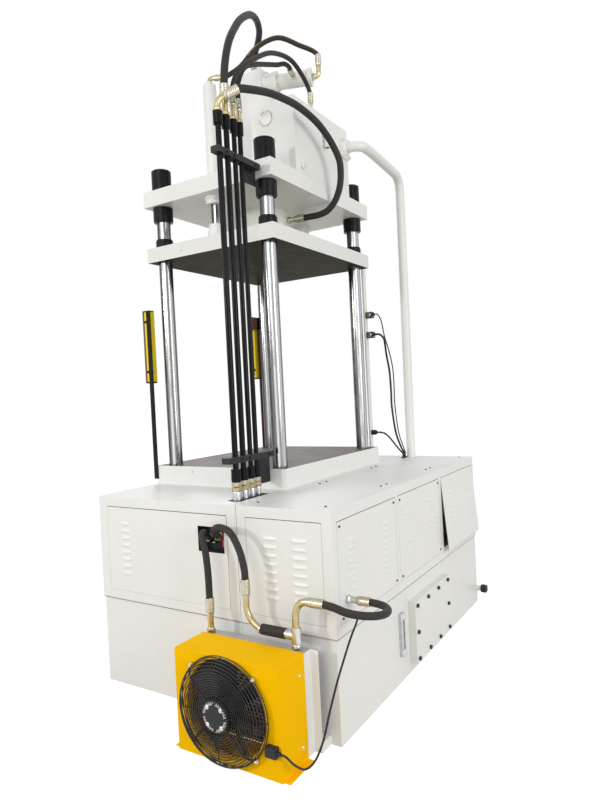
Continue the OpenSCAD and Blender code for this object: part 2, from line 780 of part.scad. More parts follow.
// Round nuts with spanner grooves: above and below the crown, and under the bed
module round_nut(h) {
    edge = 5;
    difference() {
        union() {
            cylinder(d1 = nut_d - 2 * edge, d2 = nut_d, h = edge);
            translate([0, 0, edge]) cylinder(d = nut_d, h = h - 2 * edge);
            translate([0, 0, h - edge]) cylinder(d1 = nut_d, d2 = nut_d - 2 * edge, h = edge);
        }
        translate([0, 0, -1]) cylinder(d = col_d + 2 * slack, h = h + 2);
        for (a = [45, 225])
            rotate(a)
                translate([nut_d / 2, 0, h / 2])
                    rotate([0, 90, 0])
                        cylinder(d = 12, h = 20, center = true);
    }
}
module column_nuts() {
    color(black_steel)
        at_columns() {
            translate([0, 0, crown_top]) round_nut(top_nut_h);
            translate([0, 0, crown_z - low_nut_h]) round_nut(low_nut_h);
            translate([0, 0, base_h - 100]) round_nut(100);
        }
}

module crown() {
    color(cream)
        difference() {
            block(-plate_len / 2, plate_len / 2, -plate_depth / 2, plate_depth / 2, crown_z, crown_top);
            at_columns() translate([0, 0, crown_z - 1]) cylinder(d = col_d + 2 * slack, h = crown_t + 2);
            translate([0, 0, crown_z - 1]) cylinder(d = main_neck_d + 2 * slack, h = crown_t + 2);
            for (s = [-1, 1])
                translate([s * return_x, 0, crown_z - 1])
                    cylinder(d = return_d + 2 * slack, h = crown_t + 2);
        }
}

module slide() {
    color(cream)
        difference() {
            block(-slide_len / 2, slide_len / 2, -slide_depth / 2, slide_depth / 2, slide_z, slide_top);
            at_columns() translate([0, 0, slide_z - 1]) cylinder(d = bush_d + 2 * running, h = slide_t + 2);
        }
    color("#a8a8a4")
        translate([slide_len / 2, -185, slide_top - 45])
            rotate([0, 90, 0])
                cylinder(d = 14, h = 6);
}

// Flanged bushes that run on the columns
module guide_bushes() {
    color(black_steel)
        at_columns()
            difference() {
                union() {
                    translate([0, 0, slide_z + 6]) cylinder(d = bush_d, h = slide_t);
                    translate([0, 0, slide_top]) cylinder(d = bush_cap_d, h = bush_cap_h - 8);
                    translate([0, 0, slide_top + bush_cap_h - 8]) cylinder(d = bush_cap_d - 8, h = 8);
                }
                translate([0, 0, slide_z - 1])
                    cylinder(d = col_d + 2 * running, h = slide_t + bush_cap_h + 2);
            }
}

module main_cylinder() {
    lock_h = 56;
    color(cream)
        difference() {
            union() {
                translate([0, 0, gland_z + 26]) cylinder(d = main_d, h = crown_z - gland_z - 26);
                translate([0, 0, gland_z]) cylinder(d = main_d + 16, h = 26);
                translate([0, 0, crown_z - 1]) cylinder(d = main_neck_d, h = main_top - crown_z + 1);
                translate([0, 0, crown_top]) cylinder(d = main_neck_d + 50, h = lock_h);
                translate([0, 0, port_z]) rotate([0, 90, port_angle]) cylinder(d = 58, h = port_r);
            }
            translate([0, 0, gland_z - 1]) cylinder(d = ram_d + 2 * running, h = gland_h + 2);
            translate([0, 0, gland_z + gland_h])
                cylinder(d = main_bore, h = main_top - gland_z - gland_h - 50);
        }
}

module main_ram() {
    color("#cfd2d6") {
        translate([0, 0, slide_top]) cylinder(d = ram_d, h = piston_top - slide_top);
        translate([0, 0, piston_top - piston_h]) cylinder(d = main_bore - 2 * running, h = piston_h);
    }
}

module return_cylinders() {
    bore = return_d - 14;
    color(cream)
        for (s = [-1, 1])
            translate([s * return_x, 0, 0])
                difference() {
                    union() {
                        translate([0, 0, crown_z - 1]) cylinder(d = return_d, h = return_top - crown_z - 5);
                        translate([0, 0, return_top - 6]) cylinder(d1 = return_d, d2 = return_d - 12, h = 6);
                        translate([0, 0, crown_z - return_flange_h])
                            cylinder(d = 106, h = return_flange_h - 20);
                        translate([0, 0, crown_z - 20]) cylinder(d = 118, h = 20);
                        for (a = [30 : 60 : 330])
                            rotate(a)
                                translate([49, 0, crown_z - 30])
                                    cylinder(d = 13, h = 11);
                    }
                    translate([0, 0, crown_z - return_flange_h - 1])
                        cylinder(d = return_rod_d + 2 * running, h = return_flange_h + 2);
                    translate([0, 0, crown_z]) cylinder(d = bore, h = return_top - crown_z - 24);
                }
}

module return_rods() {
    bore = return_d - 14;
    color("#cfd2d6")
        for (s = [-1, 1])
            translate([s * return_x, 0, 0]) {
                translate([0, 0, slide_top]) cylinder(d = return_rod_d, h = return_piston_top - slide_top);
                translate([0, 0, return_piston_top - return_piston_h])
                    cylinder(d = bore - 2 * running, h = return_piston_h);
            }
}

// Stepped white anchors that clamp the rods to the slide
module rod_anchors() {
    color(cream)
        for (s = [-1, 1])
            translate([s * return_x, 0, slide_top])
                difference() {
                    union() {
                        cylinder(d = 104, h = anchor_h * 0.55);
                        translate([0, 0, anchor_h * 0.55 - 1]) cylinder(d = 88, h = anchor_h * 0.45 + 1);
                    }
                    translate([0, 0, -1]) cylinder(d = return_rod_d + 2 * slack, h = anchor_h + 2);
                }
}

module fill_tank() {
    wall = 6;
    badge_d = 84;
    color(cream)
        difference() {
            union() {
                block(tank_x0, -tank_x0, tank_y0, tank_y0 + tank_depth, crown_top, tank_top);
                translate([-tank_x0, tank_y0 + tank_depth - 185, tank_top - 85])
                    rotate([0, 90, 0])
                        cylinder(d = badge_d, h = 3);
                translate([-tank_x0 - 70, tank_y0 + tank_depth, crown_top + 45])
                    rotate([-90, 0, 0])
                        cylinder(d = 26, h = 12);
                translate([-15, tank_y0 + tank_depth - 1, tank_top - 115])
                    rotate([-90, 0, 0])
                        cylinder(d = 30, h = 24);
                translate([-15, tank_y0 + tank_depth + 22, tank_top - 200])
                    cylinder(d = 34, h = 100);
                translate([-10, pipe_y, tank_top - 1]) cylinder(d = 70, h = 16);
            }
            block(tank_x0 + wall, -tank_x0 - wall, tank_y0 + wall, tank_y0 + tank_depth - wall,
                crown_top + wall, tank_top - wall);
            translate([-15, tank_y0 + tank_depth + 22, tank_top - 201]) cylinder(d = 26, h = 60);
        }
}

// Head block on the main cylinder with the fill valve's body lying across the tank
module at_valve() {
    translate(valve_at) rotate([-90, 0, valve_yaw]) children();
}
module fill_valve() {
    color(cream) {
        translate([head_at[0], head_at[1], main_top + head_block_h / 2])
            cube([head_block, head_block, head_block_h], center = true);
        at_valve() {
            cylinder(d = 116, h = 80);
            translate([0, 0, 79]) cylinder(d = 126, h = 28);
            translate([0, 0, 106]) cylinder(d = valve_d, h = valve_end - 116);
            translate([0, 0, valve_end - 24]) cylinder(d = valve_d + 14, h = 24);
            translate([0, 0, valve_port]) rotate([0, 90, 0]) cylinder(d = 44, h = 62);
        }
        for (sx = [-1, 1])
            for (sy = [-1, 1])
                translate([head_at[0] + sx * 72, head_at[1] + sy * 72, main_top + head_block_h - 1])
                    hex_nut(24, 13);
    }
}

module return_pipe() {
    color(cream) {
        tube(route_return_pipe, return_pipe_d, 2, 20);
        block(pipe_port[0] - 48, pipe_port[0] + 48, pipe_port[1], pipe_port[1] + 14,
            pipe_port[2] - 64, pipe_port[2] + 64);
        translate([return_at[0], return_at[1], seam_z]) cylinder(d = return_pipe_d + 40, h = 12);
    }
}

// Four black pipes side by side along X, each with a sleeve at top and bottom
module pressure_pipes() {
    color(black_steel)
        for (i = [0 : 3])
            translate([pipe_x[i], pipe_y, 0]) {
                translate([0, 0, pipe_foot]) cylinder(d = pipe_d[i], h = pipe_top - pipe_foot);
                for (z = [pipe_foot, pipe_top - sleeve_h])
                    translate([0, 0, z]) cylinder(d = sleeve_d[i], h = sleeve_h);
            }
}

clamp_bar = 24;
clamp_h = 30;
bracket_t = 6;
module clamp(face_x, plate_z0, plate_z1, bar_z, bar_x1) {
    difference() {
        block(face_x + 20, bar_x1, pipe_y - clamp_bar, pipe_y + clamp_bar, bar_z, bar_z + clamp_h);
        for (i = [0 : 3])
            translate([pipe_x[i], pipe_y, bar_z - 1])
                cylinder(d = pipe_d[i] + 2 * running, h = clamp_h + 2);
        block(face_x + 19, bar_x1 - 40, pipe_y - 0.6, pipe_y + 0.6, bar_z - 1, bar_z + clamp_h + 1);
    }
    block(face_x, face_x + 118, pipe_y - clamp_bar - bracket_t, pipe_y - clamp_bar, plate_z0, plate_z1);
    for (x = [face_x + 60, pipe_x[2] + 30, pipe_x[1] + 30])
        translate([x, pipe_y + clamp_bar, bar_z + clamp_h / 2])
            rotate([-90, 0, 0])
                hex_nut(13, 8);
}
module pipe_clamps() {
    color(black_steel) {
        clamp(bed_len / 2, base_h + 42, base_h + 210, base_h + 180, 966);
        clamp(plate_len / 2, crown_z - 46, crown_z + 60, crown_z + 24, 930);
    }
}

// Fittings: stems with a ball at each bend, a hexagon at the foot and a collar at the hose
module stem(from, to, d) {
    towards(from, to) cylinder(d = d, h = norm(to - from));
}
module fitting(p, d) {
    last = len(p) - 1;
    reach = norm(p[last] - p[last - 1]);
    for (i = [0 : last - 1]) stem(p[i], p[i + 1], d - 2 * i);
    if (last > 1) for (i = [1 : last - 1]) translate(p[i]) sphere(d = d + 5, $fn = 24);
    towards(p[0], p[1]) hex_nut(d + 5, 14);
    towards(p[last - 1], p[last]) translate([0, 0, reach - 22]) cylinder(d = d + 9, h = 22);
}
module hose_fittings($fn = 32) {
    head_top = main_top + head_block_h;
    silver = "#b9bcbf";
    color(brass) {
        fitting([[pipe_x[0], pipe_y, pipe_top], [pipe_x[0], pipe_y, 2925], [862, 425, 2950]], 32);
        fitting([[pipe_x[1], pipe_y, pipe_top], [pipe_x[1], pipe_y, 2960]], 32);
        fitting([[pipe_x[2], pipe_y, pipe_top], [pipe_x[2], pipe_y, 2950]], 26);
        fitting([[pipe_x[3], pipe_y, pipe_top], [pipe_x[3], pipe_y, 2940]], 26);
        fitting([[40, 20, head_top], [40, 20, 3550]], 34);
        fitting([[-10, pipe_y, tank_top + 15], [-10, pipe_y, 3250]], 24);
        fitting([[return_x, 0, return_top], [return_x, 0, 3312], [return_x - 36, 26, 3322]], 26);
        translate([-return_x, 0, return_top]) hex_nut(27, 16);
        at_valve() {
            translate([62, 0, valve_port]) rotate([0, 90, 0]) hex_nut(32, 14);
            translate([62, 0, valve_port]) rotate([0, 90, 0]) cylinder(d = 24, h = 48);
            translate([88, 0, valve_port]) rotate([0, 90, 0]) cylinder(d = 33, h = 22);
            translate([0, 0, valve_end]) cylinder(d = 30, h = 42);
        }
        translate(valve_corner) sphere(d = 35, $fn = 24);
        stem(valve_corner, [valve_corner[0], valve_corner[1], 3490], 28);
        translate([valve_corner[0], valve_corner[1], 3462]) cylinder(d = 40, h = 28);
        translate([0, 0, port_z])
            rotate([0, 90, port_angle])
                translate([0, 0, port_r]) {
                    hex_nut(42, 16);
                    cylinder(d = 32, h = 242 - port_r);
                    translate([0, 0, 216 - port_r]) cylinder(d = 44, h = 26);
                }
    }
    color(silver) {
        for (i = [0 : 3])
            translate([pipe_x[i], pipe_y, 0]) {
                translate([0, 0, pipe_foot - 150]) cylinder(d = sleeve_d[i] - 12, h = 150);
                translate([0, 0, pipe_foot - 24]) hex_nut(sleeve_d[i] - 7, 24);
            }
        for (i = [0, 1])
            fitting([[recess_back, wall_hose_y[i], 815 + 10 * i],
                [recess_back + 30, wall_hose_y[i], 815 + 10 * i],
                [1000, wall_hose_y[i] + 5 - 3 * i, 835 + 10 * i]], 28);
        fitting([[port_x, port_y[0], core_top], [port_x, port_y[0], 530]], 30);
        fitting([[port_x, port_y[1], union_z], [port_x, 625, union_z], [port_x, 570, 545],
            [port_x, 570, 640]], 30);
        fitting([[port_x, port_y[1], core_top], [port_x, port_y[1], 600], [port_x, 862, 640],
            [port_x, 910, 640]], 34);
        fitting([[900, rear_y, 600], [900, 1030, 600]], 28);
    }
    color(black_steel)
        translate([port_x, 776, union_z]) rotate([90, 0, 0]) cylinder(d = 46, h = 128);
}

curtain_w = 45;
curtain_d = 54;
far_curtain_x = -bed_len / 2 + 44;
bed_front = -bed_depth / 2;
// Yellow light curtain body with a dark lens strip along its inward side
module curtain(lens_dir) {
    color("#e8c21a")
        difference() {
            block(-curtain_w / 2, curtain_w / 2, -curtain_d, 0, 0, curtain_h);
            translate([lens_dir * curtain_w / 2, -curtain_d / 2, curtain_h / 2])
                cube([8, 30, curtain_h - 40], center = true);
        }
    color(black_steel) {
        translate([lens_dir * (curtain_w / 2 - 3), -curtain_d / 2, curtain_h / 2])
            cube([2, 30, curtain_h - 40], center = true);
        for (z = [-8, curtain_h]) block(-curtain_w / 2 + 2, curtain_w / 2 - 2, -curtain_d + 2, -2, z, z + 8);
    }
}
module light_curtains() {
    translate([bed_len / 2 - curtain_w / 2, bed_front - 4, curtain_z]) curtain(-1);
    translate([far_curtain_x + curtain_w / 2, bed_front - post_t, curtain_z + 15]) curtain(1);
}

post_t = 6;
post_top = curtain_z + curtain_h + 45;
module curtain_posts() {
    color(black_steel)
        block(bed_len / 2, bed_len / 2 + 8, bed_front - 22, bed_front + 8, base_h + 30,
            curtain_z + curtain_h + 5);
    color("#6b2c22") {
        block(-bed_len / 2 - post_t, -bed_len / 2 - post_t + post_leg, bed_front - post_t, bed_front,
            base_h + 30, post_top);
        block(-bed_len / 2 - post_t, -bed_len / 2, bed_front - post_t, bed_front - post_t + post_leg,
            base_h + 30, post_top);
        block(-bed_len / 2 - post_t, -bed_len / 2 + 133, bed_front - post_t, bed_front,
            post_top - 92, post_top);
    }
}

rail_y = bed_depth / 2 - 66.5;
rail_t = 12;
sensor_x = -bed_len / 2 - 24;
sensor_z = [2005, 1870];
module position_rail() {
    color(cream)
        block(-bed_len / 2 - 44, -bed_len / 2, rail_y, rail_y + rail_t, base_h + 20, slide_z + 25);
}
module position_sensors() {
    back = rail_y + rail_t;
    for (z = sensor_z)
        translate([sensor_x, back, z])
            rotate([-90, 0, 0]) {
                color(black_steel) cylinder(d = 30, h = sensor_len);
                color(brass) translate([0, 0, -rail_t - 14]) cylinder(d = 24, h = 14);
            }
    color(black_steel)
        translate([sensor_x, back, 1205])
            rotate([-90, 0, 0])
                cylinder(d = 34, h = 40);
}

core_top = cooler_h - 8;
foot_len = 28;
module cooler_shroud() {
    wall = 3;
    y0 = cooler_y - cooler_w / 2;
    y1 = cooler_y + cooler_w / 2;
    color("#e2b02a") {
        difference() {
            block(cooler_x0, cooler_x1, y0, y1, 0, cooler_h);
            block(cooler_x0 - 1, cooler_x1 - wall, y0 + wall, y1 - wall, wall, cooler_h - wall);
            translate([cooler_x1 - wall - 1, fan_y, fan_z])
                rotate([0, 90, 0]) cylinder(r = fan_hole_r, h = wall + 2);
        }
        translate([cooler_x1 - wall - 30, fan_y, fan_z])
            rotate([0, 90, 0]) ring(fan_hole_r + 2.5, fan_hole_r, 31);
        for (y = [y0 - foot_len, y1]) block(cooler_x0 + 5, cooler_x1 - 9, y, y + foot_len, 0, 4);
    }
}

core_t = 60;
core_w = 524;
module cooler_core() {
    header = 34;
    y0 = cooler_y - core_w / 2;
    y1 = cooler_y + core_w / 2;
    fin_pitch = 16;
    color("#cfd0cc") {
        for (y = [y0, y1 - header]) block(cooler_x0 - core_t, cooler_x0, y, y + header, 4, core_top);
        for (z = [4, core_top - 14])
            block(cooler_x0 - core_t, cooler_x0, y0 + header - 1, y1 - header + 1, z, z + 14);
        for (i = [1 : floor((core_top - 26) / fin_pitch) - 1])
            block(cooler_x0 - core_t + 8, cooler_x0 - 8, y0 + header - 1, y1 - header + 1,
                10 + i * fin_pitch, 17 + i * fin_pitch);
    }
}

fan_face = cooler_x1 + 20;
module at_fan(x) { translate([x, fan_y, fan_z]) rotate([0, 90, 0]) children(); }
module cooler_fan() {
    blade_w = 84;
    color("#2a2c30") {
        at_fan(fan_face - 78) cylinder(r = 60, h = 78 - slack);
        at_fan(fan_face - 20) cylinder(r = 8, h = 50);
        intersection() {
            at_fan(fan_face - 90) cylinder(r = fan_r, h = 90);
            translate([fan_face - 42, fan_y, fan_z])
                for (i = [0 : blade_count - 1])
                    rotate([i * 360 / blade_count, 0, 0])
                        rotate([0, 0, 32])
                            block(-1.5, 1.5, -blade_w / 2, blade_w / 2, 54, fan_r + 20);
        }
    }
}

guard_hub_x = fan_face + 47;
module fan_motor() {
    color(black_steel)
        difference() {
            union() {
                at_fan(fan_face) cylinder(r = 67, h = 36);
                at_fan(fan_face + 35) cylinder(r = 60, h = 9);
            }
            at_fan(fan_face - 1) cylinder(r = 8 + running, h = 33);
        }
}

// Wire guard: flat rings out to the knee, then rings down the curved rim, on radial bars
guard_knee = 172;
guard_x = cooler_x1 + 56;
function rim(t, inset) = [
    guard_knee + (guard_r - guard_knee - inset) * sin(t),
    cooler_x1 + 10 + (guard_x - cooler_x1 - 10 - inset) * cos(t)
];
module wire_ring(r, x) {
    at_fan(x) rotate_extrude() translate([r, 0]) circle(d = guard_wire, $fn = 24);
}
module guard_bar() {
    outer = [for (t = [0 : 15 : 90]) rim(t, 1.5)];
    inner = [for (t = [90 : -15 : 0]) rim(t, 6)];
    mirror([1, -1, 0])
        translate([0, 0, -guard_wire / 2])
            linear_extrude(guard_wire)
                polygon(concat([[70, guard_x - 6], [70, guard_x - 1.5]], outer, inner));
}
module fan_guard() {
    color(black_steel) {
        for (r = [82 : 10 : guard_knee]) wire_ring(r, guard_x);
        for (t = [15 : 15 : 90]) wire_ring(rim(t, 0)[0], rim(t, 0)[1]);
        for (a = [0 : 45 : 315])
            translate([0, fan_y, fan_z])
                rotate([a, 0, 0])
                    guard_bar();
        at_fan(guard_x - 8) ring(73, 67 + slack, guard_hub_x - guard_x + 8);
        at_fan(guard_hub_x - 3) ring(73, 40, 3);
        for (a = [45 : 90 : 315])
            translate([cooler_x1, fan_y, fan_z])
                rotate([a, 0, 0])
                    translate([0, guard_r - 2, 0])
                        rotate([0, 90, 0])
                            cylinder(d = 16, h = 12);
    }
}

module fan_terminal_box() {
    color(black_steel) {
        block(cooler_x1, cooler_x1 + 28, cooler_y + 207, cooler_y + 257, 105, 145);
        translate([cooler_x1 + 15, cooler_y + 257, 125]) rotate([-90, 0, 0]) cylinder(d = 16, h = 17);
    }
}

// Angles beside the core, with floor rails back to the plinth
module cooler_frame() {
    angle = 40;
    leg = 5;
    color(cream)
        for (s = [-1, 1]) {
            edge = cooler_y + s * core_w / 2;
            y = [min(edge, edge + s * leg), max(edge, edge + s * leg)];
            wide = [min(edge, edge + s * angle), max(edge, edge + s * angle)];
            block(cooler_x0 - core_t, cooler_x0, y[0], y[1], 0, core_top);
            block(cooler_x0 - core_t, cooler_x0 - core_t + leg, wide[0], wide[1], 0, core_top);
            block(plinth_x, cooler_x0 - core_t + 1, wide[0], wide[1], 0, 40);
        }
}

module cable_glands() {
    color(black_steel) {
        block(grommet_x[0], grommet_x[1], cover_y + slack, grommet_y, base_h - panel_t, base_h + 8);
        translate([905, rear_y, 540]) rotate([-90, 0, 0]) hex_nut(20, 8);
        translate([905, rear_y, 540]) rotate([-90, 0, 0]) cylinder(d = 16, h = 20);
    }
}

module hose(p, d) {
    color(black_steel) tube(p, d, 3, 10);
}
module cable(p, d) {
    color(black_steel) tube(p, d, 4, 8);
}
module hose_fill() { hose(route_fill, 38); }
module hose_return_cylinder() { hose(route_return, 28); }
module hose_prefill() { hose(route_prefill, 26); }
module hose_pilot() { hose(route_pilot, 26); }
module hose_main_cylinder() { hose(route_main, 38); }
module cooler_hose_in() { hose(route_cooler_in, 32); }
module cooler_hose_out() { hose(route_cooler_out, 32); }
module cooler_hose_tank() { hose(route_cooler_tank, 32); }
module fan_cable() { cable(route_fan, 9); }
module sensor_cable_upper() { cable(route_sensor_upper, 8); }
module sensor_cable_middle() { cable(route_sensor_middle, 14); }
module sensor_cable_lower() { cable(route_sensor_lower, 12); }

press_base();
front_enclosure();
side_panels();
far_access_panels();
oil_tank();
tank_lid();
clean_out_cover();
level_gauge();
drain_cap();
power_unit_housing();
rear_panels();
rear_panel_ajar();
top_cover_plates();
panel_screws();
cable_glands();
electric_motor();
bell_housing();
gear_pump();
drive_coupling();
valve_manifold();
bed();
columns();
column_nuts();
crown();
slide();
guide_bushes();
main_cylinder();
main_ram();
return_cylinders();
return_rods();
rod_anchors();
fill_tank();
fill_valve();
return_pipe();
pressure_pipes();
pipe_clamps();
hose_fittings();
light_curtains();
curtain_posts();
position_rail();
position_sensors();
cooler_shroud();
cooler_core();
cooler_fan();
fan_guard();
fan_motor();
fan_terminal_box();
cooler_frame();
hose_fill();
hose_return_cylinder();
hose_prefill();
hose_pilot();
hose_main_cylinder();
cooler_hose_in();
cooler_hose_out();
cooler_hose_tank();
fan_cable();
sensor_cable_upper();
sensor_cable_middle();
sensor_cable_lower();
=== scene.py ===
"""Dresses the four-column hydraulic press for its studio picture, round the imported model."""

import logging
import math
from dataclasses import dataclass, field
from enum import Enum
from functools import cache
from typing import Iterable, Sequence

import bmesh
import bpy
from mathutils import Matrix, Vector


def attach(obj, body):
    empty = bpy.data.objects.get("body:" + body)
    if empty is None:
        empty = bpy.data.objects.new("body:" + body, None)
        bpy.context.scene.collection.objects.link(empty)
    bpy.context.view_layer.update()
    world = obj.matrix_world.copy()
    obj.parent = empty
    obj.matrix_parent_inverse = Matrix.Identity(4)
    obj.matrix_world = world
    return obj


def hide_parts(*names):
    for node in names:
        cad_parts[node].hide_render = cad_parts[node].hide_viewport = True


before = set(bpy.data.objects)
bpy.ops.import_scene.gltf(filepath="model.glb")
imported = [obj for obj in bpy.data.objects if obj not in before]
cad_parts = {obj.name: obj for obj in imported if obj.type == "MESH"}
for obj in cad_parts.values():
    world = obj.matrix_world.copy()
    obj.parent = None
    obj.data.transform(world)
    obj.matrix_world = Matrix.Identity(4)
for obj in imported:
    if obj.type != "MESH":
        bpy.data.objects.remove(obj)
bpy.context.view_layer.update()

logging.basicConfig(level=logging.INFO, format="%(name)s: %(message)s")
LOG = logging.getLogger("press")

Point = Sequence[float]
Colour = tuple[float, float, float]
Profile = Sequence[tuple[float, float]]
Ring = list[bmesh.types.BMVert]
Socket = bpy.types.NodeSocket
Nodes = bpy.types.NodeTree
Material = bpy.types.Material

MM = 0.001
FACE_WEIGHT = 90
CREAM_BASE: Colour = (0.825, 0.815, 0.772)
X_AXIS = (1, 0, 0)
Y_AXIS = (0, 1, 0)
Z_AXIS = (0, 0, 1)


class Slot(Enum):
    """The record's material slots, passed when each built piece is ended."""

    CREAM = "cream_paint"
    GAUGE = "gauge_plastic"
    BLACK_PLASTIC = "black_plastic"
    BLACK_STEEL = "black_steel"
    BRASS = "fitting_brass"
    HOSE = "hose_rubber"
    BROWN = "post_brown"
    CURTAIN = "curtain_yellow"
    WIRE = "guard_wire"
    STEEL = "machined_steel"


class Stiffness(Enum):
    """How much a cord resists bending."""

    MEDIUM = "medium"
    STIFF = "stiff"


def mm(*values: float) -> tuple[float, ...]:
    """Millimetres as metres."""
    return tuple(v * MM for v in values)


def turns(count: int, start: float = 0.0) -> list[float]:
    """Angles in radians that share a full turn evenly."""
    return [start + 2 * math.pi * k / count for k in range(count)]


def toned(colour: Colour, factor: float) -> Colour:
    """A colour made lighter or darker, held at white."""
    return tuple(min(1.0, c * factor) for c in colour)


def unique(parts: Iterable) -> list:
    """Each of the parts once, in the order given."""
    return list(dict.fromkeys(parts))


def toothed(teeth: int, outer: float, inner: float) -> list[tuple[float, float]]:
    """Outline of a toothed disc in metres, its two radii given in millimetres."""
    radii = [(outer if k % 4 < 2 else inner) * MM for k in range(teeth * 4)]
    return [(r * math.cos(a), r * math.sin(a)) for r, a in zip(radii, turns(teeth * 4))]


def laid(at: Point, direction: Point) -> Matrix:
    """Placement that turns local +Z into a direction.

    Args:
        at: Where the local origin goes, in metres.
        direction: Where local +Z points.

    Returns:
        The placement as a matrix.
    """
    turn = Vector(direction).normalized().to_track_quat("Z", "Y").to_matrix().to_4x4()
    return Matrix.Translation(Vector(at)) @ turn


# Shader building


class Tree:
    """A node tree with short calls for adding and joining nodes."""

    def __init__(self, tree: Nodes) -> None:
        """Keeps the tree to build in."""
        self.tree = tree

    def add(self, kind: str, **settings: object) -> bpy.types.Node:
        """Adds a node.

        Args:
            kind: The node type's name.
            settings: Properties of the node, or input values given by socket name.

        Returns:
            The new node.
        """
        node = self.tree.nodes.new(kind)
        for key, value in settings.items():
            if hasattr(node, key):
                setattr(node, key, value)
            else:
                node.inputs[key.replace("_", " ")].default_value = value
        return node

    def feed(self, value: object, socket: Socket) -> None:
        """Gives an input its value.

        Args:
            value: A socket to join to it, or a plain value.
            socket: The input.
        """
        if isinstance(value, Socket):
            self.tree.links.new(value, socket)
        else:
            socket.default_value = value

    def maths(self, operation: str, a: object, b: object = None, clamp: bool = False) -> Socket:
        """Adds a Math node.

        Args:
            operation: The operation's name.
            a: First value or socket.
            b: Second value or socket.
            clamp: Whether the result is held between 0 and 1.

        Returns:
            The result's socket.
        """
        node = self.add("ShaderNodeMath", operation=operation, use_clamp=clamp)
        for index, value in enumerate((a, b)):
            if value is not None:
                self.feed(value, node.inputs[index])
        return node.outputs[0]

    def times(self, a: object, b: object, clamp: bool = False) -> Socket:
        """The product of two values or sockets."""
        return self.maths("MULTIPLY", a, b, clamp)

    def mix(self, factor: object, a: object, b: object) -> Socket:
        """Mixes two colours.

        Args:
            factor: The second colour's share, a value or a socket.
            a: First colour, a socket or three numbers.
            b: Second colour, a socket or three numbers.

        Returns:
            The result's socket.
        """
        node = self.add("ShaderNodeMix", data_type="RGBA")
        self.feed(factor, node.inputs[0])
        for index, colour in ((6, a), (7, b)):
            self.feed(colour if isinstance(colour, Socket) else (*colour, 1.0), node.inputs[index])
        return node.outputs[2]

    def band(self, value: Socket, low: object, high: object) -> Socket:
        """Maps low..high of a value to 0..1, held there.

        Args:
            value: The value's socket.
            low: What becomes 0, a value or a socket.
            high: What becomes 1, a value or a socket.

        Returns:
            The result's socket.
        """
        node = self.add("ShaderNodeMapRange")
        for index, given in enumerate((value, low, high)):
            self.feed(given, node.inputs[index])
        return node.outputs[0]

    def dot(self, a: Socket, b: object) -> Socket:
        """Adds the scalar product of two directions.

        Args:
            a: First direction's socket.
            b: Second direction, a socket or three numbers.

        Returns:
            The result's socket.
        """
        node = self.add("ShaderNodeVectorMath", operation="DOT_PRODUCT")
        self.feed(a, node.inputs[0])
        self.feed(b, node.inputs[1])
        return node.outputs["Value"]

    def where(self) -> Socket:
        """Adds the object's own coordinates."""
        return self.add("ShaderNodeTexCoord").outputs["Object"]

    def normal(self) -> Socket:
        """Adds the direction that the surface faces."""
        return self.add("ShaderNodeNewGeometry").outputs["Normal"]

    def upward(self) -> Socket:
        """Adds how far the surface faces up, from -1 to 1.

        Returns:
            The value's socket.
        """
        split = self.add("ShaderNodeSeparateXYZ")
        self.feed(self.normal(), split.inputs[0])
        return split.outputs[2]

    def noise(self, where: Socket, scale: object, detail: object = 3.0) -> Socket:
        """Adds cloudy noise.

        Args:
            where: Position to read it at.
            scale: Its scale, a value or a socket.
            detail: How fine it goes, a value or a socket.

        Returns:
            The noise value's socket.
        """
        node = self.add("ShaderNodeTexNoise")
        self.feed(where, node.inputs["Vector"])
        self.feed(scale, node.inputs["Scale"])
        self.feed(detail, node.inputs["Detail"])
        return node.outputs[0]

    def stretched(self, where: Socket, scale: Point) -> Socket:
        """Scales a position.

        Args:
            where: The position's socket.
            scale: Factor for each axis.

        Returns:
            The result's socket.
        """
        node = self.add("ShaderNodeMapping")
        node.inputs["Scale"].default_value = scale
        self.feed(where, node.inputs["Vector"])
        return node.outputs[0]


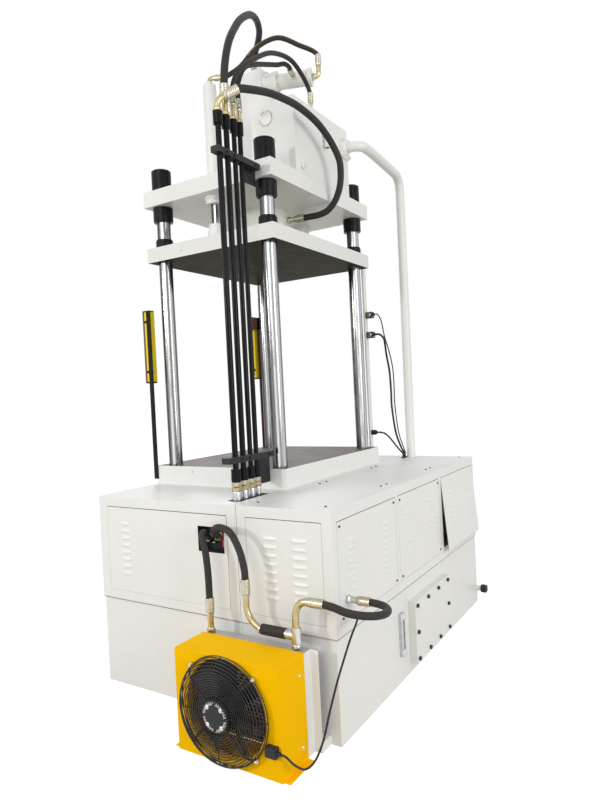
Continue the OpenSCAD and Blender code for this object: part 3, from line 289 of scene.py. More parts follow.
class Effects:
    """Node groups that several finishes share. Each gives masks or heights only."""

    @staticmethod
    def _start(name: str, inputs: dict[str, float], output: str) -> tuple[Tree, dict[str, Socket], Socket]:
        """Starts a group.

        Args:
            name: The group's name.
            inputs: Input names with their start values.
            output: The output's name.

        Returns:
            The tree, its input sockets by name, and the socket that takes the result.
        """
        group = bpy.data.node_groups.new(name, "ShaderNodeTree")
        for key, value in inputs.items():
            socket = group.interface.new_socket(key, in_out="INPUT", socket_type="NodeSocketFloat")
            socket.default_value = value
        group.interface.new_socket(output, in_out="OUTPUT", socket_type="NodeSocketFloat")
        tree = Tree(group)
        source = tree.add("NodeGroupInput")
        sink = tree.add("NodeGroupOutput")
        return tree, {key: source.outputs[key] for key in inputs}, sink.inputs[0]

    @staticmethod
    @cache
    def edge_wear() -> Nodes:
        """Mask that is bright along worn outer edges.

        Returns:
            The node group.
        """
        inputs = {"Radius": 0.003, "Amount": 0.5, "Scale": 40.0}
        tree, given, result = Effects._start("Edge wear", inputs, "Mask")
        bevel = tree.add("ShaderNodeBevel", samples=4)
        tree.feed(given["Radius"], bevel.inputs["Radius"])
        turned = tree.maths("SUBTRACT", 1.0, tree.dot(bevel.outputs[0], tree.normal()))
        edge = tree.band(turned, 0.02, 0.2)
        rough = tree.band(tree.noise(tree.where(), given["Scale"], 5.0), 0.45, 0.65)
        tree.feed(tree.times(tree.times(edge, rough), given["Amount"], True), result)
        return tree.tree

    @staticmethod
    @cache
    def mottle() -> Nodes:
        """Soft uneven patches of two sizes, from 0 to 1.

        Returns:
            The node group.
        """
        tree, given, result = Effects._start("Mottle", {"Scale": 6.0, "Contrast": 1.0}, "Value")
        where = tree.where()
        wide = tree.noise(where, given["Scale"], 4.0)
        fine = tree.noise(where, tree.times(given["Scale"], 9.0), 2.0)
        both = tree.maths("ADD", tree.times(wide, 0.7), tree.times(fine, 0.3))
        centred = tree.times(tree.maths("SUBTRACT", both, 0.5), given["Contrast"])
        tree.feed(tree.maths("ADD", centred, 0.5, True), result)
        return tree.tree

    @staticmethod
    @cache
    def dust() -> Nodes:
        """Mask of dust lying on faces that look up.

        Returns:
            The node group.
        """
        tree, given, result = Effects._start("Dust", {"Amount": 0.3, "Scale": 12.0}, "Mask")
        up = tree.band(tree.upward(), 0.35, 0.95)
        patch = tree.band(tree.noise(tree.where(), given["Scale"], 6.0), 0.35, 0.75)
        tree.feed(tree.times(tree.times(up, patch), given["Amount"], True), result)
        return tree.tree

    @staticmethod
    @cache
    def streaks() -> Nodes:
        """Thin lines along Z, as marks of grinding leave, from 0 to 1.

        Returns:
            The node group.
        """
        tree, given, result = Effects._start("Streaks", {"Scale": 60.0, "Low": 0.5, "High": 0.8}, "Mask")
        value = tree.noise(tree.stretched(tree.where(), (1.0, 1.0, 0.04)), given["Scale"])
        tree.feed(tree.band(value, given["Low"], given["High"]), result)
        return tree.tree

    @staticmethod
    @cache
    def stains() -> Nodes:
        """Blotches with sharp rims, as spilt oil and rust leave, from 0 to 1.

        Returns:
            The node group.
        """
        tree, given, result = Effects._start("Stains", {"Scale": 5.0, "Spread": 0.5}, "Mask")
        body = tree.noise(tree.where(), given["Scale"], 7.0)
        high = tree.maths("ADD", given["Spread"], 0.08)
        tree.feed(tree.band(body, given["Spread"], high), result)
        return tree.tree

    @staticmethod
    @cache
    def grain() -> Nodes:
        """Fine surface height, as sprayed paint, cast skin or moulded plastic has.

        Returns:
            The node group.
        """
        tree, given, result = Effects._start("Grain", {"Scale": 400.0, "Softness": 2.0}, "Height")
        tree.feed(tree.noise(tree.where(), given["Scale"], given["Softness"]), result)
        return tree.tree


class Shader(Tree):
    """One material under way, with its Principled shader."""

    def __init__(self, name: str) -> None:
        """Starts a material of that name.

        Args:
            name: The material's name.
        """
        self.material = bpy.data.materials.new(name)
        self.material.use_nodes = True
        super().__init__(self.material.node_tree)
        self.bsdf = next(n for n in self.tree.nodes if n.type == "BSDF_PRINCIPLED")

    def effect(self, group: Nodes, **values: float) -> Socket:
        """Places an effect with its own values.

        Args:
            group: The effect's node group.
            values: Input values by name.

        Returns:
            The effect's output socket.
        """
        node = self.add("ShaderNodeGroup", node_tree=group)
        for key, value in values.items():
            node.inputs[key].default_value = value
        return node.outputs[0]

    def plain(self, **values: float) -> None:
        """Sets constant values on the shader's own sockets, with underscores for spaces."""
        for key, value in values.items():
            self.bsdf.inputs[key.replace("_", " ")].default_value = value

    def colour(self, socket: Socket) -> None:
        """Feeds Base Color."""
        self.feed(socket, self.bsdf.inputs["Base Color"])

    def roughness(self, socket: Socket, low: float, high: float) -> None:
        """Feeds Roughness.

        Args:
            socket: A value from 0 to 1.
            low: The roughness at 0.
            high: The roughness at 1.
        """
        node = self.add("ShaderNodeMapRange")
        node.inputs[3].default_value = low
        node.inputs[4].default_value = high
        self.feed(socket, node.inputs[0])
        self.feed(node.outputs[0], self.bsdf.inputs["Roughness"])

    def bump(self, socket: Socket, strength: float, depth: float) -> None:
        """Feeds Normal.

        Args:
            socket: The height, from 0 to 1.
            strength: How much of the bump shows.
            depth: What a height of 1 is in metres.
        """
        node = self.add("ShaderNodeBump", Strength=strength, Distance=depth)
        self.feed(socket, node.inputs["Height"])
        self.feed(node.outputs[0], self.bsdf.inputs["Normal"])


# Finishes


@dataclass(frozen=True)
class Paint:
    """Sprayed enamel on sheet or plate, with faint unevenness, dust and rubbed edges."""

    name: str
    base: Colour
    rough: float = 0.38
    uneven: float = 0.04
    worn: Colour = (0.45, 0.44, 0.42)
    wear: float = 0.25
    dust: float = 0.12
    peel: float = 0.10
    shine: float = 0.5
    lint: Colour = (0.42, 0.40, 0.36)

    def build(self) -> Material:
        """Builds the material.

        Returns:
            The finished material.
        """
        s = Shader(self.name)
        patch = s.effect(Effects.mottle(), Scale=3.0, Contrast=1.6)
        coat = s.mix(patch, toned(self.base, 1 - self.uneven), toned(self.base, 1 + self.uneven))
        grey = tuple(0.5 * c + 0.5 * g for c, g in zip(self.base, self.lint))
        dusty = s.mix(s.effect(Effects.dust(), Amount=self.dust, Scale=9.0), coat, grey)
        edge = s.effect(Effects.edge_wear(), Radius=0.0022, Amount=self.wear, Scale=55.0)
        s.colour(s.mix(edge, dusty, self.worn))
        s.roughness(patch, self.rough - 0.06, self.rough + 0.10)
        s.bump(s.effect(Effects.grain(), Scale=260.0, Softness=1.5), self.peel, 0.0006)
        s.plain(Specular_IOR_Level=self.shine)
        return s.material


@dataclass(frozen=True)
class Chrome:
    """Ground and hard chromed steel with fine lines along it and a thin oil film.

    Painted highlight bands and painted dark reflection bands lie along it, told by how far a face turns to
    the side.
    """

    name: str
    base: Colour
    rough: float = 0.16
    film: float = 0.30
    oil: Colour = (0.26, 0.23, 0.18)
    # Level direction that the painted reflection bands are measured against.
    across: Point = (-0.53, 0.85, 0.0)
    painted_highlight_bands: tuple[Point, Point] = ((-0.08, 0.30, 1.0), (0.68, 0.26, 0.6))
    painted_dark_bands: tuple[Point, Point] = ((-0.82, 0.56, 0.88), (1.0, 0.22, 0.7))

    def _painted_bands(self, s: Shader, turn: Socket, lobes: tuple[Point, Point]) -> Socket:
        """Two soft bands of painted reflection along a round bar.

        Args:
            s: The shader under way.
            turn: How far a face has turned to the side, from -1 to 1.
            lobes: For each band the turn where it is strongest, its half width and its strength.

        Returns:
            The socket of the stronger band at each place.
        """
        made = []
        for centre, reach, level in lobes:
            away = s.maths("ABSOLUTE", s.maths("SUBTRACT", turn, centre))
            made.append(s.times(s.maths("SUBTRACT", 1.0, s.band(away, reach * 0.15, reach)), level))
        return s.maths("MAXIMUM", *made)

    def build(self) -> Material:
        """Builds the material.

        Returns:
            The finished material.
        """
        s = Shader(self.name)
        lines = s.effect(Effects.streaks(), Scale=95.0, Low=0.35, High=0.75)
        turn = s.dot(s.normal(), self.across)
        # Painted reflection: highlight bands lighten the base, dark bands darken it, by the face's direction.
        light = self._painted_bands(s, turn, self.painted_highlight_bands)
        dark = self._painted_bands(s, turn, self.painted_dark_bands)
        highlit_base = s.mix(light, toned(self.base, 0.24), self.base)
        with_painted_reflection = s.mix(dark, highlit_base, toned(self.base, 0.05))
        oiled = s.effect(Effects.stains(), Scale=7.0, Spread=0.56)
        ground = s.mix(s.times(lines, 0.3), with_painted_reflection, toned(self.base, 0.30))
        s.colour(s.mix(s.times(oiled, self.film), ground, self.oil))
        s.roughness(lines, self.rough - 0.04, self.rough + 0.12)
        s.bump(lines, 0.05, 0.0003)
        s.plain(Metallic=1.0)
        return s.material


@dataclass(frozen=True)
class Steel:
    """Turned, milled or plated metal, with tool lines and tarnish."""

    name: str
    base: Colour
    rough: float = 0.34
    tarnish: Colour = (0.20, 0.17, 0.13)
    tarnished: float = 0.45

    def build(self) -> Material:
        """Builds the material.

        Returns:
            The finished material.
        """
        s = Shader(self.name)
        patch = s.effect(Effects.mottle(), Scale=28.0, Contrast=2.4)
        marks = s.effect(Effects.stains(), Scale=18.0, Spread=0.60)
        edge = s.effect(Effects.edge_wear(), Radius=0.0012, Amount=0.6, Scale=120.0)
        shade = s.mix(patch, toned(self.base, 0.78), self.base)
        old = s.mix(s.times(marks, self.tarnished), shade, self.tarnish)
        s.colour(s.mix(edge, old, toned(self.base, 1.25)))
        s.roughness(patch, self.rough - 0.1, self.rough + 0.14)
        s.bump(s.effect(Effects.grain(), Scale=700.0, Softness=3.0), 0.12, 0.0004)
        s.plain(Metallic=1.0)
        return s.material


@dataclass(frozen=True)
class Blacked:
    """Blackened steel or moulded black plastic, a little glossy, greyed at the edges."""

    name: str
    base: Colour
    rough: float = 0.36
    dust: float = 0.10
    shine: float = 0.28
    rubbed: Colour = (0.16, 0.16, 0.17)
    lint: Colour = (0.20, 0.19, 0.17)

    def build(self) -> Material:
        """Builds the material.

        Returns:
            The finished material.
        """
        s = Shader(self.name)
        patch = s.effect(Effects.mottle(), Scale=18.0, Contrast=2.0)
        edge = s.effect(Effects.edge_wear(), Radius=0.0015, Amount=0.7, Scale=90.0)
        dusty = s.effect(Effects.dust(), Amount=self.dust, Scale=30.0)
        shade = s.mix(patch, self.base, tuple(c * 1.6 + 0.002 for c in self.base))
        s.colour(s.mix(dusty, s.mix(edge, shade, self.rubbed), self.lint))
        s.roughness(patch, self.rough - 0.1, self.rough + 0.14)
        s.bump(s.effect(Effects.grain(), Scale=520.0, Softness=2.0), 0.15, 0.0004)
        s.plain(Specular_IOR_Level=self.shine)
        return s.material


@dataclass(frozen=True)
class HoseRubber:
    """Cloth-wrapped hydraulic hose: fine diagonal weave, dull black with greyed patches."""

    name: str
    base: Colour = (0.019, 0.018, 0.016)
    greyed: Colour = (0.036, 0.034, 0.030)
    lint: Colour = (0.15, 0.14, 0.12)
    weave: float = 150.0

    def build(self) -> Material:
        """Builds the material.

        Returns:
            The finished material.
        """
        s = Shader(self.name)
        patch = s.effect(Effects.mottle(), Scale=20.0, Contrast=2.2)
        dusty = s.effect(Effects.dust(), Amount=0.16, Scale=45.0)
        s.colour(s.mix(dusty, s.mix(patch, self.base, self.greyed), self.lint))
        s.roughness(patch, 0.48, 0.68)
        where = s.where()
        strands = []
        for scale in ((1.0, 1.0, 1.0), (-1.0, 1.0, -1.0)):
            node = s.add("ShaderNodeTexWave", wave_type="BANDS", bands_direction="DIAGONAL",
                         Scale=self.weave)
            s.feed(s.stretched(where, scale), node.inputs["Vector"])
            strands.append(node.outputs["Fac"])
        s.bump(s.maths("MAXIMUM", *strands), 0.35, 0.0005)
        s.plain(Specular_IOR_Level=0.24)
        return s.material


@dataclass(frozen=True)
class TablePlate:
    """Cream plate whose working face is bare dark steel with oil and rust stains.

    The working face is told by its normal, so that the plate stays one piece.
    """

    name: str
    base: Colour
    face_up: bool
    steel: Colour
    stain: Colour
    shine: float
    worn: Colour = (0.42, 0.40, 0.37)

    def _painted(self, s: Shader, patch: Socket) -> Socket:
        """The colour of the painted sides, rubbed at the edges."""
        edge = s.effect(Effects.edge_wear(), Radius=0.003, Amount=0.35, Scale=45.0)
        return s.mix(edge, s.mix(patch, toned(self.base, 0.96), toned(self.base, 1.03)), self.worn)

    def _bare(self, s: Shader) -> Socket:
        """The colour of the working face, blotched, rusty and oily.

        Args:
            s: The shader under way.

        Returns:
            The colour's socket.
        """
        blotch = s.effect(Effects.mottle(), Scale=7.0, Contrast=3.2)
        metal = s.mix(blotch, toned(self.steel, 0.45), toned(self.steel, 1.5))
        rust = s.effect(Effects.stains(), Scale=4.5, Spread=0.53)
        brown = s.mix(s.times(rust, 0.7), metal, self.stain)
        pale = s.effect(Effects.stains(), Scale=11.0, Spread=0.60)
        return s.mix(s.times(pale, 0.35), brown, toned(self.steel, 2.2))

    def build(self) -> Material:
        """Builds the material.

        Returns:
            The finished material.
        """
        s = Shader(self.name)
        bare = s.band(s.upward(), *((0.8, 0.97) if self.face_up else (-0.8, -0.97)))
        patch = s.effect(Effects.mottle(), Scale=3.0, Contrast=1.6)
        s.colour(s.mix(bare, self._painted(s, patch), self._bare(s)))
        s.roughness(s.maths("ADD", s.times(patch, 0.4), s.times(bare, 0.5)), 0.32, 0.56)
        s.bump(s.effect(Effects.grain(), Scale=260.0, Softness=3.0), 0.12, 0.0005)
        s.plain(Specular_IOR_Level=self.shine)
        return s.material


@dataclass(frozen=True)
class Clear:
    """Clear moulding of the level gauge."""

    name: str
    dim: Colour = (0.62, 0.66, 0.62)
    bright: Colour = (0.72, 0.75, 0.71)

    def build(self) -> Material:
        """Builds the material.

        Returns:
            The finished material.
        """
        s = Shader(self.name)
        patch = s.effect(Effects.mottle(), Scale=40.0, Contrast=1.5)
        s.colour(s.mix(patch, self.dim, self.bright))
        s.roughness(patch, 0.05, 0.16)
        s.plain(Transmission_Weight=0.6, IOR=1.49)
        return s.material


class Finish(Enum):
    """The machine's finishes."""

    CREAM = Paint("cream_paint", CREAM_BASE)
    LINE = Paint("hose_lay_line", (0.50, 0.25, 0.02), rough=0.6, wear=0.0, shine=0.1)
    SEAM_SHADOW = Paint("seam_shadow", (0.085, 0.070, 0.060), rough=0.7, wear=0.0, dust=0.0, shine=0.1)
    # Primer grey, also laid as painted shade in the panel gaps and louvre mouths.
    PRIMER_AND_GAP_SHADE = Paint("inner_primer", (0.42, 0.40, 0.36), rough=0.6, wear=0.05)
    YELLOW = Paint("cooler_coating", (1.0, 0.54, 0.0), 0.55, 0.02, (0.7, 0.45, 0.1), 0.10, 0.0, shine=0.04)
    CURTAIN = Paint("curtain_coating", (0.92, 0.70, 0.005), 0.42, 0.04, (0.5, 0.42, 0.2), 0.25, 0.03,
                    shine=0.2)
    BROWN = Paint("post_primer", (0.10, 0.028, 0.020), 0.5, 0.15, (0.2, 0.12, 0.1), 0.5, 0.1)
    MOTOR = Paint("motor_enamel", (0.05, 0.13, 0.22), 0.4, 0.08, (0.3, 0.3, 0.3), 0.4, 0.2)
    RED = Paint("red_cap", (0.85, 0.02, 0.012), 0.35, 0.06, (0.5, 0.2, 0.2), 0.2, 0.1)
    BED = TablePlate("bed_plate", CREAM_BASE, True, (0.058, 0.042, 0.034), (0.13, 0.06, 0.035), 0.28)
    # The slide's downward face takes a far darker steel than the bed's top face.
    SLIDE = TablePlate("slide_plate", CREAM_BASE, False, (0.026, 0.023, 0.007), (0.040, 0.025, 0.007), 0.02)
    # Both chrome finishes carry painted reflection bands.
    CHROME = Chrome("chromed_columns", (0.84, 0.85, 0.86))
    ROD = Chrome("chromed_rods", (0.80, 0.81, 0.83), rough=0.10, film=0.15)
    BLACK = Blacked("blackened_steel", (0.005, 0.005, 0.006), 0.26, 0.05, 0.14)
    PIPE = Blacked("black_pipe", (0.006, 0.006, 0.007), 0.22, 0.02, 0.10)
    SCREWS = Blacked("panel_screw_finish", (0.010, 0.010, 0.011), 0.34, 0.03)
    PLASTIC = Blacked("black_plastic", (0.014, 0.014, 0.015), 0.5)
    BLADE = Blacked("fan_blades", (0.011, 0.011, 0.012), 0.42)
    WIRE = Blacked("guard_wires", (0.012, 0.012, 0.012), 0.30)
    LENS = Blacked("curtain_lens", (0.005, 0.004, 0.004), 0.08)
    RUBBER = HoseRubber("hose_rubber")
    BRASS = Steel("yellow_plate", (0.56, 0.47, 0.27), 0.27, (0.24, 0.18, 0.08), 0.4)
    NICKEL = Steel("pale_plate", (0.58, 0.55, 0.43), 0.24, (0.26, 0.23, 0.14), 0.4)
    STEEL = Steel("machined_steel", (0.46, 0.46, 0.46), 0.36)
    ZINC = Steel("zinc_bolts", (0.66, 0.67, 0.69), 0.25, tarnished=0.2)
    ALLOY = Steel("core_alloy", (0.62, 0.62, 0.60), 0.42, tarnished=0.25)
    CLEAR = Clear("gauge_clear")

    @cache
    def material(self) -> Material:
        """The finish's material, built when first asked for."""
        return self.value.build()


# Mesh building


@dataclass
class Maker:
    """Builds one mesh piece out of several turned, drawn and folded solids."""

    name: str
    finishes: list[Finish] = field(default_factory=list)
    mesh: bmesh.types.BMesh = field(default_factory=bmesh.new)

    def index(self, finish: Finish) -> int:
        """The material index of a finish, added when new.

        Args:
            finish: The finish.

        Returns:
            Its place in the piece's list of materials.
        """
        if finish not in self.finishes:
            self.finishes.append(finish)
        return self.finishes.index(finish)

    def ring(self, place: Matrix, points: Iterable[Point]) -> Ring:
        """Adds a ring of vertices given in local coordinates."""
        return [self.mesh.verts.new(place @ Vector(p)) for p in points]

    def skin(self, rings: list[Ring], finish: Finish, closed: bool = True, caps: bool = True) -> None:
        """Joins rings of vertices into a skin.

        Args:
            rings: Rings with the same number of vertices each.
            finish: The skin's finish.
            closed: Whether each ring closes on itself.
            caps: Whether the first and last ring are filled.
        """
        index = self.index(finish)
        count = len(rings[0])
        for lower, upper in zip(rings, rings[1:]):
            for k in range(count if closed else count - 1):
                n = (k + 1) % count
                self.mesh.faces.new((lower[k], lower[n], upper[n], upper[k])).material_index = index
        if caps:
            self.mesh.faces.new(tuple(reversed(rings[0]))).material_index = index
            self.mesh.faces.new(tuple(rings[-1])).material_index = index

    def turned(self, profile: Profile, at: Point, way: Point, finish: Finish, sides: int = 40) -> None:
        """Adds a turned solid.

        Args:
            profile: Radius and height pairs in metres, from one end to the other.
            at: Where height 0 is.
            way: The direction of the axis.
            finish: Its finish.
            sides: Number of facets round it.
        """
        place = laid(at, way)
        rings = []
        for radius, z in profile:
            r = max(radius, 1e-5)
            rings.append(self.ring(place, [(r * math.cos(a), r * math.sin(a), z) for a in turns(sides)]))
        self.skin(rings, finish)

    def bar(self, start: Point, end: Point, radius: float, finish: Finish, sides: int = 32,
            soft: float = 0.0) -> None:
        """Adds a round bar.

        Args:
            start: Centre of its first end.
            end: Centre of its other end.
            radius: Its radius.
            finish: Its finish.
            sides: Number of facets round it.
            soft: How much its rims are rounded off.
        """
        length = (Vector(end) - Vector(start)).length
        s = min(soft, length / 3, radius / 2)
        rims = [(radius, 0.0), (radius, length)]
        if s > 0:
            rims = [(radius - s, 0.0), (radius - 0.3 * s, 0.3 * s), (radius, s)]
            rims += [(r, length - z) for r, z in reversed(rims)]
        self.turned(rims, start, Vector(end) - Vector(start), finish, sides)

    def prism(self, outline: Profile, place: Matrix, height: float, finish: Finish) -> None:
        """Adds a straight prism.

        Args:
            outline: Its outline in the local XY plane.
            place: Its placement.
            height: Its height along local Z.
            finish: Its finish.
        """
        self.skin([self.ring(place, [(x, y, z) for x, y in outline]) for z in (0.0, height)], finish)

    def nut(self, at: Point, way: Point, flats: float, height: float, finish: Finish) -> None:
        """Adds a chamfered hexagon.

        Args:
            at: Centre of its lower face.
            way: Its axis.
            flats: Width across flats.
            height: Its height.
            finish: Its finish.
        """
        place = laid(at, way)
        corner = flats / 2 / math.cos(math.pi / 6)
        chamfer = height * 0.12
        rings = []
        for z, share in ((0.0, 0.9), (chamfer, 1.0), (height - chamfer, 1.0), (height, 0.9)):
            r = corner * share
            rings.append(self.ring(place, [(r * math.cos(a), r * math.sin(a), z) for a in turns(6)]))
        self.skin(rings, finish)

    def box(self, low: Point, high: Point, finish: Finish, soft: float = 0.0,
            place: Matrix = Matrix()) -> None:
        """Adds a box with its edges rounded off.

        Args:
            low: Its lowest corner.
            high: Its highest corner.
            finish: Its finish.
            soft: Radius of its edges.
            place: Placement of the box's own axes.
        """
        made = bmesh.ops.create_cube(self.mesh, size=1.0)["verts"]
        size = Vector(high) - Vector(low)
        middle = (Vector(high) + Vector(low)) / 2
        for v in made:
            v.co = Vector(a * b for a, b in zip(v.co, size)) + middle
        faces = unique(f for v in made for f in v.link_faces)
        for f in faces:
            f.material_index = self.index(finish)
        if soft > 0:
            edges = unique(e for v in made for e in v.link_edges)
            done = bmesh.ops.bevel(self.mesh, geom=edges, offset=min(soft, 0.49 * min(size)), segments=3,
                                   profile=0.5, affect="EDGES", clamp_overlap=True)["faces"]
            kept = [f for f in faces if f.is_valid]
            made = unique(v for f in kept + list(done) for v in f.verts)
            for f in done:
                f.material_index = self.index(finish)
        if place != Matrix():
            for v in made:
                v.co = place @ v.co

    def boxes(self, corners: Iterable[tuple[Point, Point]], finish: Finish, soft: float = 0.0,
              place: Matrix = Matrix()) -> None:
        """Adds several boxes of one finish.

        Args:
            corners: The lowest and highest corner of each, in millimetres.
            finish: Their finish.
            soft: Radius of their edges in metres.
            place: Placement of their own axes.
        """
        for low, high in corners:
            self.box(mm(*low), mm(*high), finish, soft, place)

    def swept(self, path: Sequence[Vector], radius: float, finish: Finish, sides: int = 16) -> None:
        """Adds a round tube.

        Args:
            path: The points that it follows.
            radius: Its radius.
            finish: Its finish.
            sides: Number of facets round it.
        """
        rings = []
        for point, side, other in zip(path, *carried_frames(path)):
            ways = [side * radius * math.cos(a) + other * radius * math.sin(a) for a in turns(sides)]
            rings.append([self.mesh.verts.new(point + way) for way in ways])
        self.skin(rings, finish)

    def torus(self, at: Point, way: Point, radius: float, wire: float, finish: Finish,
              sides: int = 72) -> None:
        """Adds a ring of round wire.

        Args:
            at: Its middle.
            way: Its axis.
            radius: Radius of the wire's centre line.
            wire: Radius of the wire.
            finish: Its finish.
            sides: Number of stretches round it.
        """
        place = laid(at, way)
        loops = []
        for a in turns(sides):
            section = [(radius + wire * math.cos(b), wire * math.sin(b)) for b in turns(8)]
            loops.append(self.ring(place, [(r * math.cos(a), r * math.sin(a), z) for r, z in section]))
        self.skin(loops + [loops[0]], finish, caps=False)

    def settle(self) -> None:
        """Puts edges and faces in an order that is the same in each run."""
        self.mesh.verts.index_update()
        count = len(self.mesh.verts)
        for parts in (self.mesh.edges, self.mesh.faces):
            lowest = {part: sorted(v.index for v in part.verts)[:3] for part in parts}
            parts.sort(key=lambda part: sum(n * count ** -k for k, n in enumerate(lowest[part])))

    def done(self, slot: Slot, *stands_for: str, angle: float = 34.0) -> bpy.types.Object:
        """Ends the piece: makes its object, smooths it and puts it on the standing frame.

        Args:
            slot: Not used.
            stands_for: CAD nodes that it replaces.
            angle: Edges sharper than this many degrees stay crisp.

        Returns:
            The object.
        """
        bmesh.ops.recalc_face_normals(self.mesh, faces=self.mesh.faces)
        self.settle()
        data = bpy.data.meshes.new(self.name)
        self.mesh.to_mesh(data)
        self.mesh.free()
        for finish in self.finishes:
            data.materials.append(finish.material())
        data.polygons.foreach_set("use_smooth", [True] * len(data.polygons))
        data.set_sharp_from_angle(angle=math.radians(angle))
        obj = bpy.data.objects.new(self.name, data)
        bpy.context.scene.collection.objects.link(obj)
        even_shading(obj)
        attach(obj, "frame")
        if stands_for:
            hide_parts(*stands_for)
        LOG.info("%s: %d faces", self.name, len(data.polygons))
        return obj


def even_shading(obj: bpy.types.Object) -> None:
    """Keeps wide faces flat in shading beside their rounded edges.

    Args:
        obj: The object to shade.
    """
    even = obj.modifiers.new("Even shading", "WEIGHTED_NORMAL")
    even.keep_sharp = True
    even.weight = FACE_WEIGHT


def carried_frames(path: Sequence[Vector]) -> tuple[list[Vector], list[Vector]]:
    """Directions across a path that don't twist along it.

    Args:
        path: The path's points.

    Returns:
        For each point, a side direction and the one square to it.
    """
    last = len(path) - 1
    ways = [(path[min(i + 1, last)] - path[max(i - 1, 0)]).normalized() for i in range(len(path))]
    start = Vector(Z_AXIS) if abs(ways[0].z) < 0.9 else Vector(X_AXIS)
    side = start.cross(ways[0]).normalized()
    sides, others = [], []
    for way in ways:
        side = (side - way * side.dot(way)).normalized()
        sides.append(side.copy())
        others.append(way.cross(side).normalized())
    return sides, others


def smooth_path(route: Sequence[Point], steps: int) -> list[Vector]:
    """A smooth curve through a route's points.

    Args:
        route: The points in millimetres.
        steps: Points made for each stretch.

    Returns:
        The curve's points in metres.
    """
    points = [Vector(p) * MM for p in route]
    last = len(points) - 1
    path = []
    for i in range(last):
        a, b, c, d = (points[j] for j in (max(i - 1, 0), i, i + 1, min(i + 2, last)))
        bend = 2 * a - 5 * b + 4 * c - d
        twist = 3 * b - a - 3 * c + d
        for t in (k / steps for k in range(steps)):
            path.append(0.5 * (2 * b + (c - a) * t + bend * t * t + twist * t ** 3))
    path.append(points[last])
    return path


def path_length(path: Sequence[Vector]) -> float:
    """Length of a path in metres."""
    return sum((b - a).length for a, b in zip(path, path[1:]))


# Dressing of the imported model's own pieces


class Dresser:
    """Gives a CAD node rounded edges and a finish, and leaves its mesh as it is."""

    WELD_REACH = 2e-6
    SMOOTH_BELOW = math.radians(33)
    EDGE_ABOVE = math.radians(35)
    IN_PLANE = math.radians(0.6)

    @staticmethod
    @cache
    def smoother() -> Nodes:
        """Geometry group that shades smooth except along sharp edges.

        Returns:
            The node group.
        """
        group = bpy.data.node_groups.new("Shade by angle", "GeometryNodeTree")
        for way in ("INPUT", "OUTPUT"):
            group.interface.new_socket("Geometry", in_out=way, socket_type="NodeSocketGeometry")
        tree = Tree(group)
        given, result = tree.add("NodeGroupInput"), tree.add("NodeGroupOutput")
        faces = tree.add("GeometryNodeSetShadeSmooth", domain="FACE")
        edges = tree.add("GeometryNodeSetShadeSmooth", domain="EDGE")
        edges.inputs["Shade Smooth"].default_value = False
        angle = tree.add("GeometryNodeInputMeshEdgeAngle")
        sharp = tree.add("FunctionNodeCompare", data_type="FLOAT", operation="GREATER_THAN")
        sharp.inputs[1].default_value = Dresser.SMOOTH_BELOW
        tree.feed(angle.outputs[0], sharp.inputs[0])
        tree.feed(given.outputs[0], faces.inputs["Geometry"])
        tree.feed(faces.outputs[0], edges.inputs["Geometry"])
        tree.feed(sharp.outputs[0], edges.inputs["Selection"])
        tree.feed(edges.outputs[0], result.inputs[0])
        return group

    @classmethod
    def dress(cls, node: str, finish: Finish, edge: float, flat: bool = True) -> None:
        """Dresses one node.

        Args:
            node: The node's name.
            finish: Its finish.
            edge: Radius of its outer edges in metres.
            flat: Whether faces in one plane are joined before the edges are rounded.
        """
        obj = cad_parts[node]
        if not obj.material_slots:
            obj.data.materials.append(finish.material())
        for slot in obj.material_slots:
            slot.material = finish.material()
        weld = obj.modifiers.new("Weld", "WELD")
        weld.merge_threshold = cls.WELD_REACH
        if flat:
            planar = obj.modifiers.new("Flat faces", "DECIMATE")
            planar.decimate_type = "DISSOLVE"
            planar.angle_limit = cls.IN_PLANE
        bevel = obj.modifiers.new("Edges", "BEVEL")
        bevel.width = edge
        bevel.segments = 2
        bevel.limit_method = "ANGLE"
        bevel.angle_limit = cls.EDGE_ABOVE
        bevel.miter_outer = "MITER_ARC"
        shade = obj.modifiers.new("Shading", "NODES")
        shade.node_group = cls.smoother()
        even_shading(obj)
        LOG.info("%s: %s", node, finish.name.lower())


@dataclass
class SubAssembly:
    """Part of the machine: CAD nodes that it dresses, each with its finish and edge radius."""

    dressed: tuple[tuple[str, Finish, float], ...] = ()
    windowed: tuple[str, ...] = ()

    def dress(self) -> None:
        """Dresses its nodes. Those with windows keep their faces as they are."""
        for node, finish, edge in self.dressed:
            Dresser.dress(node, finish, edge, flat=node not in self.windowed)

    def build(self) -> None:
        """Dresses its nodes, and in a subclass builds its own pieces too."""
        self.dress()


# The studio


@dataclass(frozen=True)
class View:
    """The camera, solved from the machine's own straight edges."""

    at: Point = (3.25209804, 2.24731781, 1.50772470)
    right: Point = (-0.52751089, 0.8480836, -0.04986451)
    up: Point = (-0.0379025, 0.03514261, 0.99866331)
    forward: Point = (-0.84870234, -0.52869576, -0.01360638)
    lens: float = 27.895
    sensor: float = 36.0
    reach: float = 60.0

    def build(self) -> None:
        """Makes the camera."""
        data = bpy.data.cameras.new("Camera")
        data.lens = self.lens
        data.sensor_width = self.sensor
        data.clip_end = self.reach
        camera = bpy.data.objects.new("Camera", data)
        columns = (self.right, self.up, tuple(-c for c in self.forward), self.at)
        camera.matrix_world = Matrix([[c[i] for c in columns] for i in range(3)] + [[0, 0, 0, 1]])
        bpy.context.scene.collection.objects.link(camera)
        bpy.context.scene.camera = camera


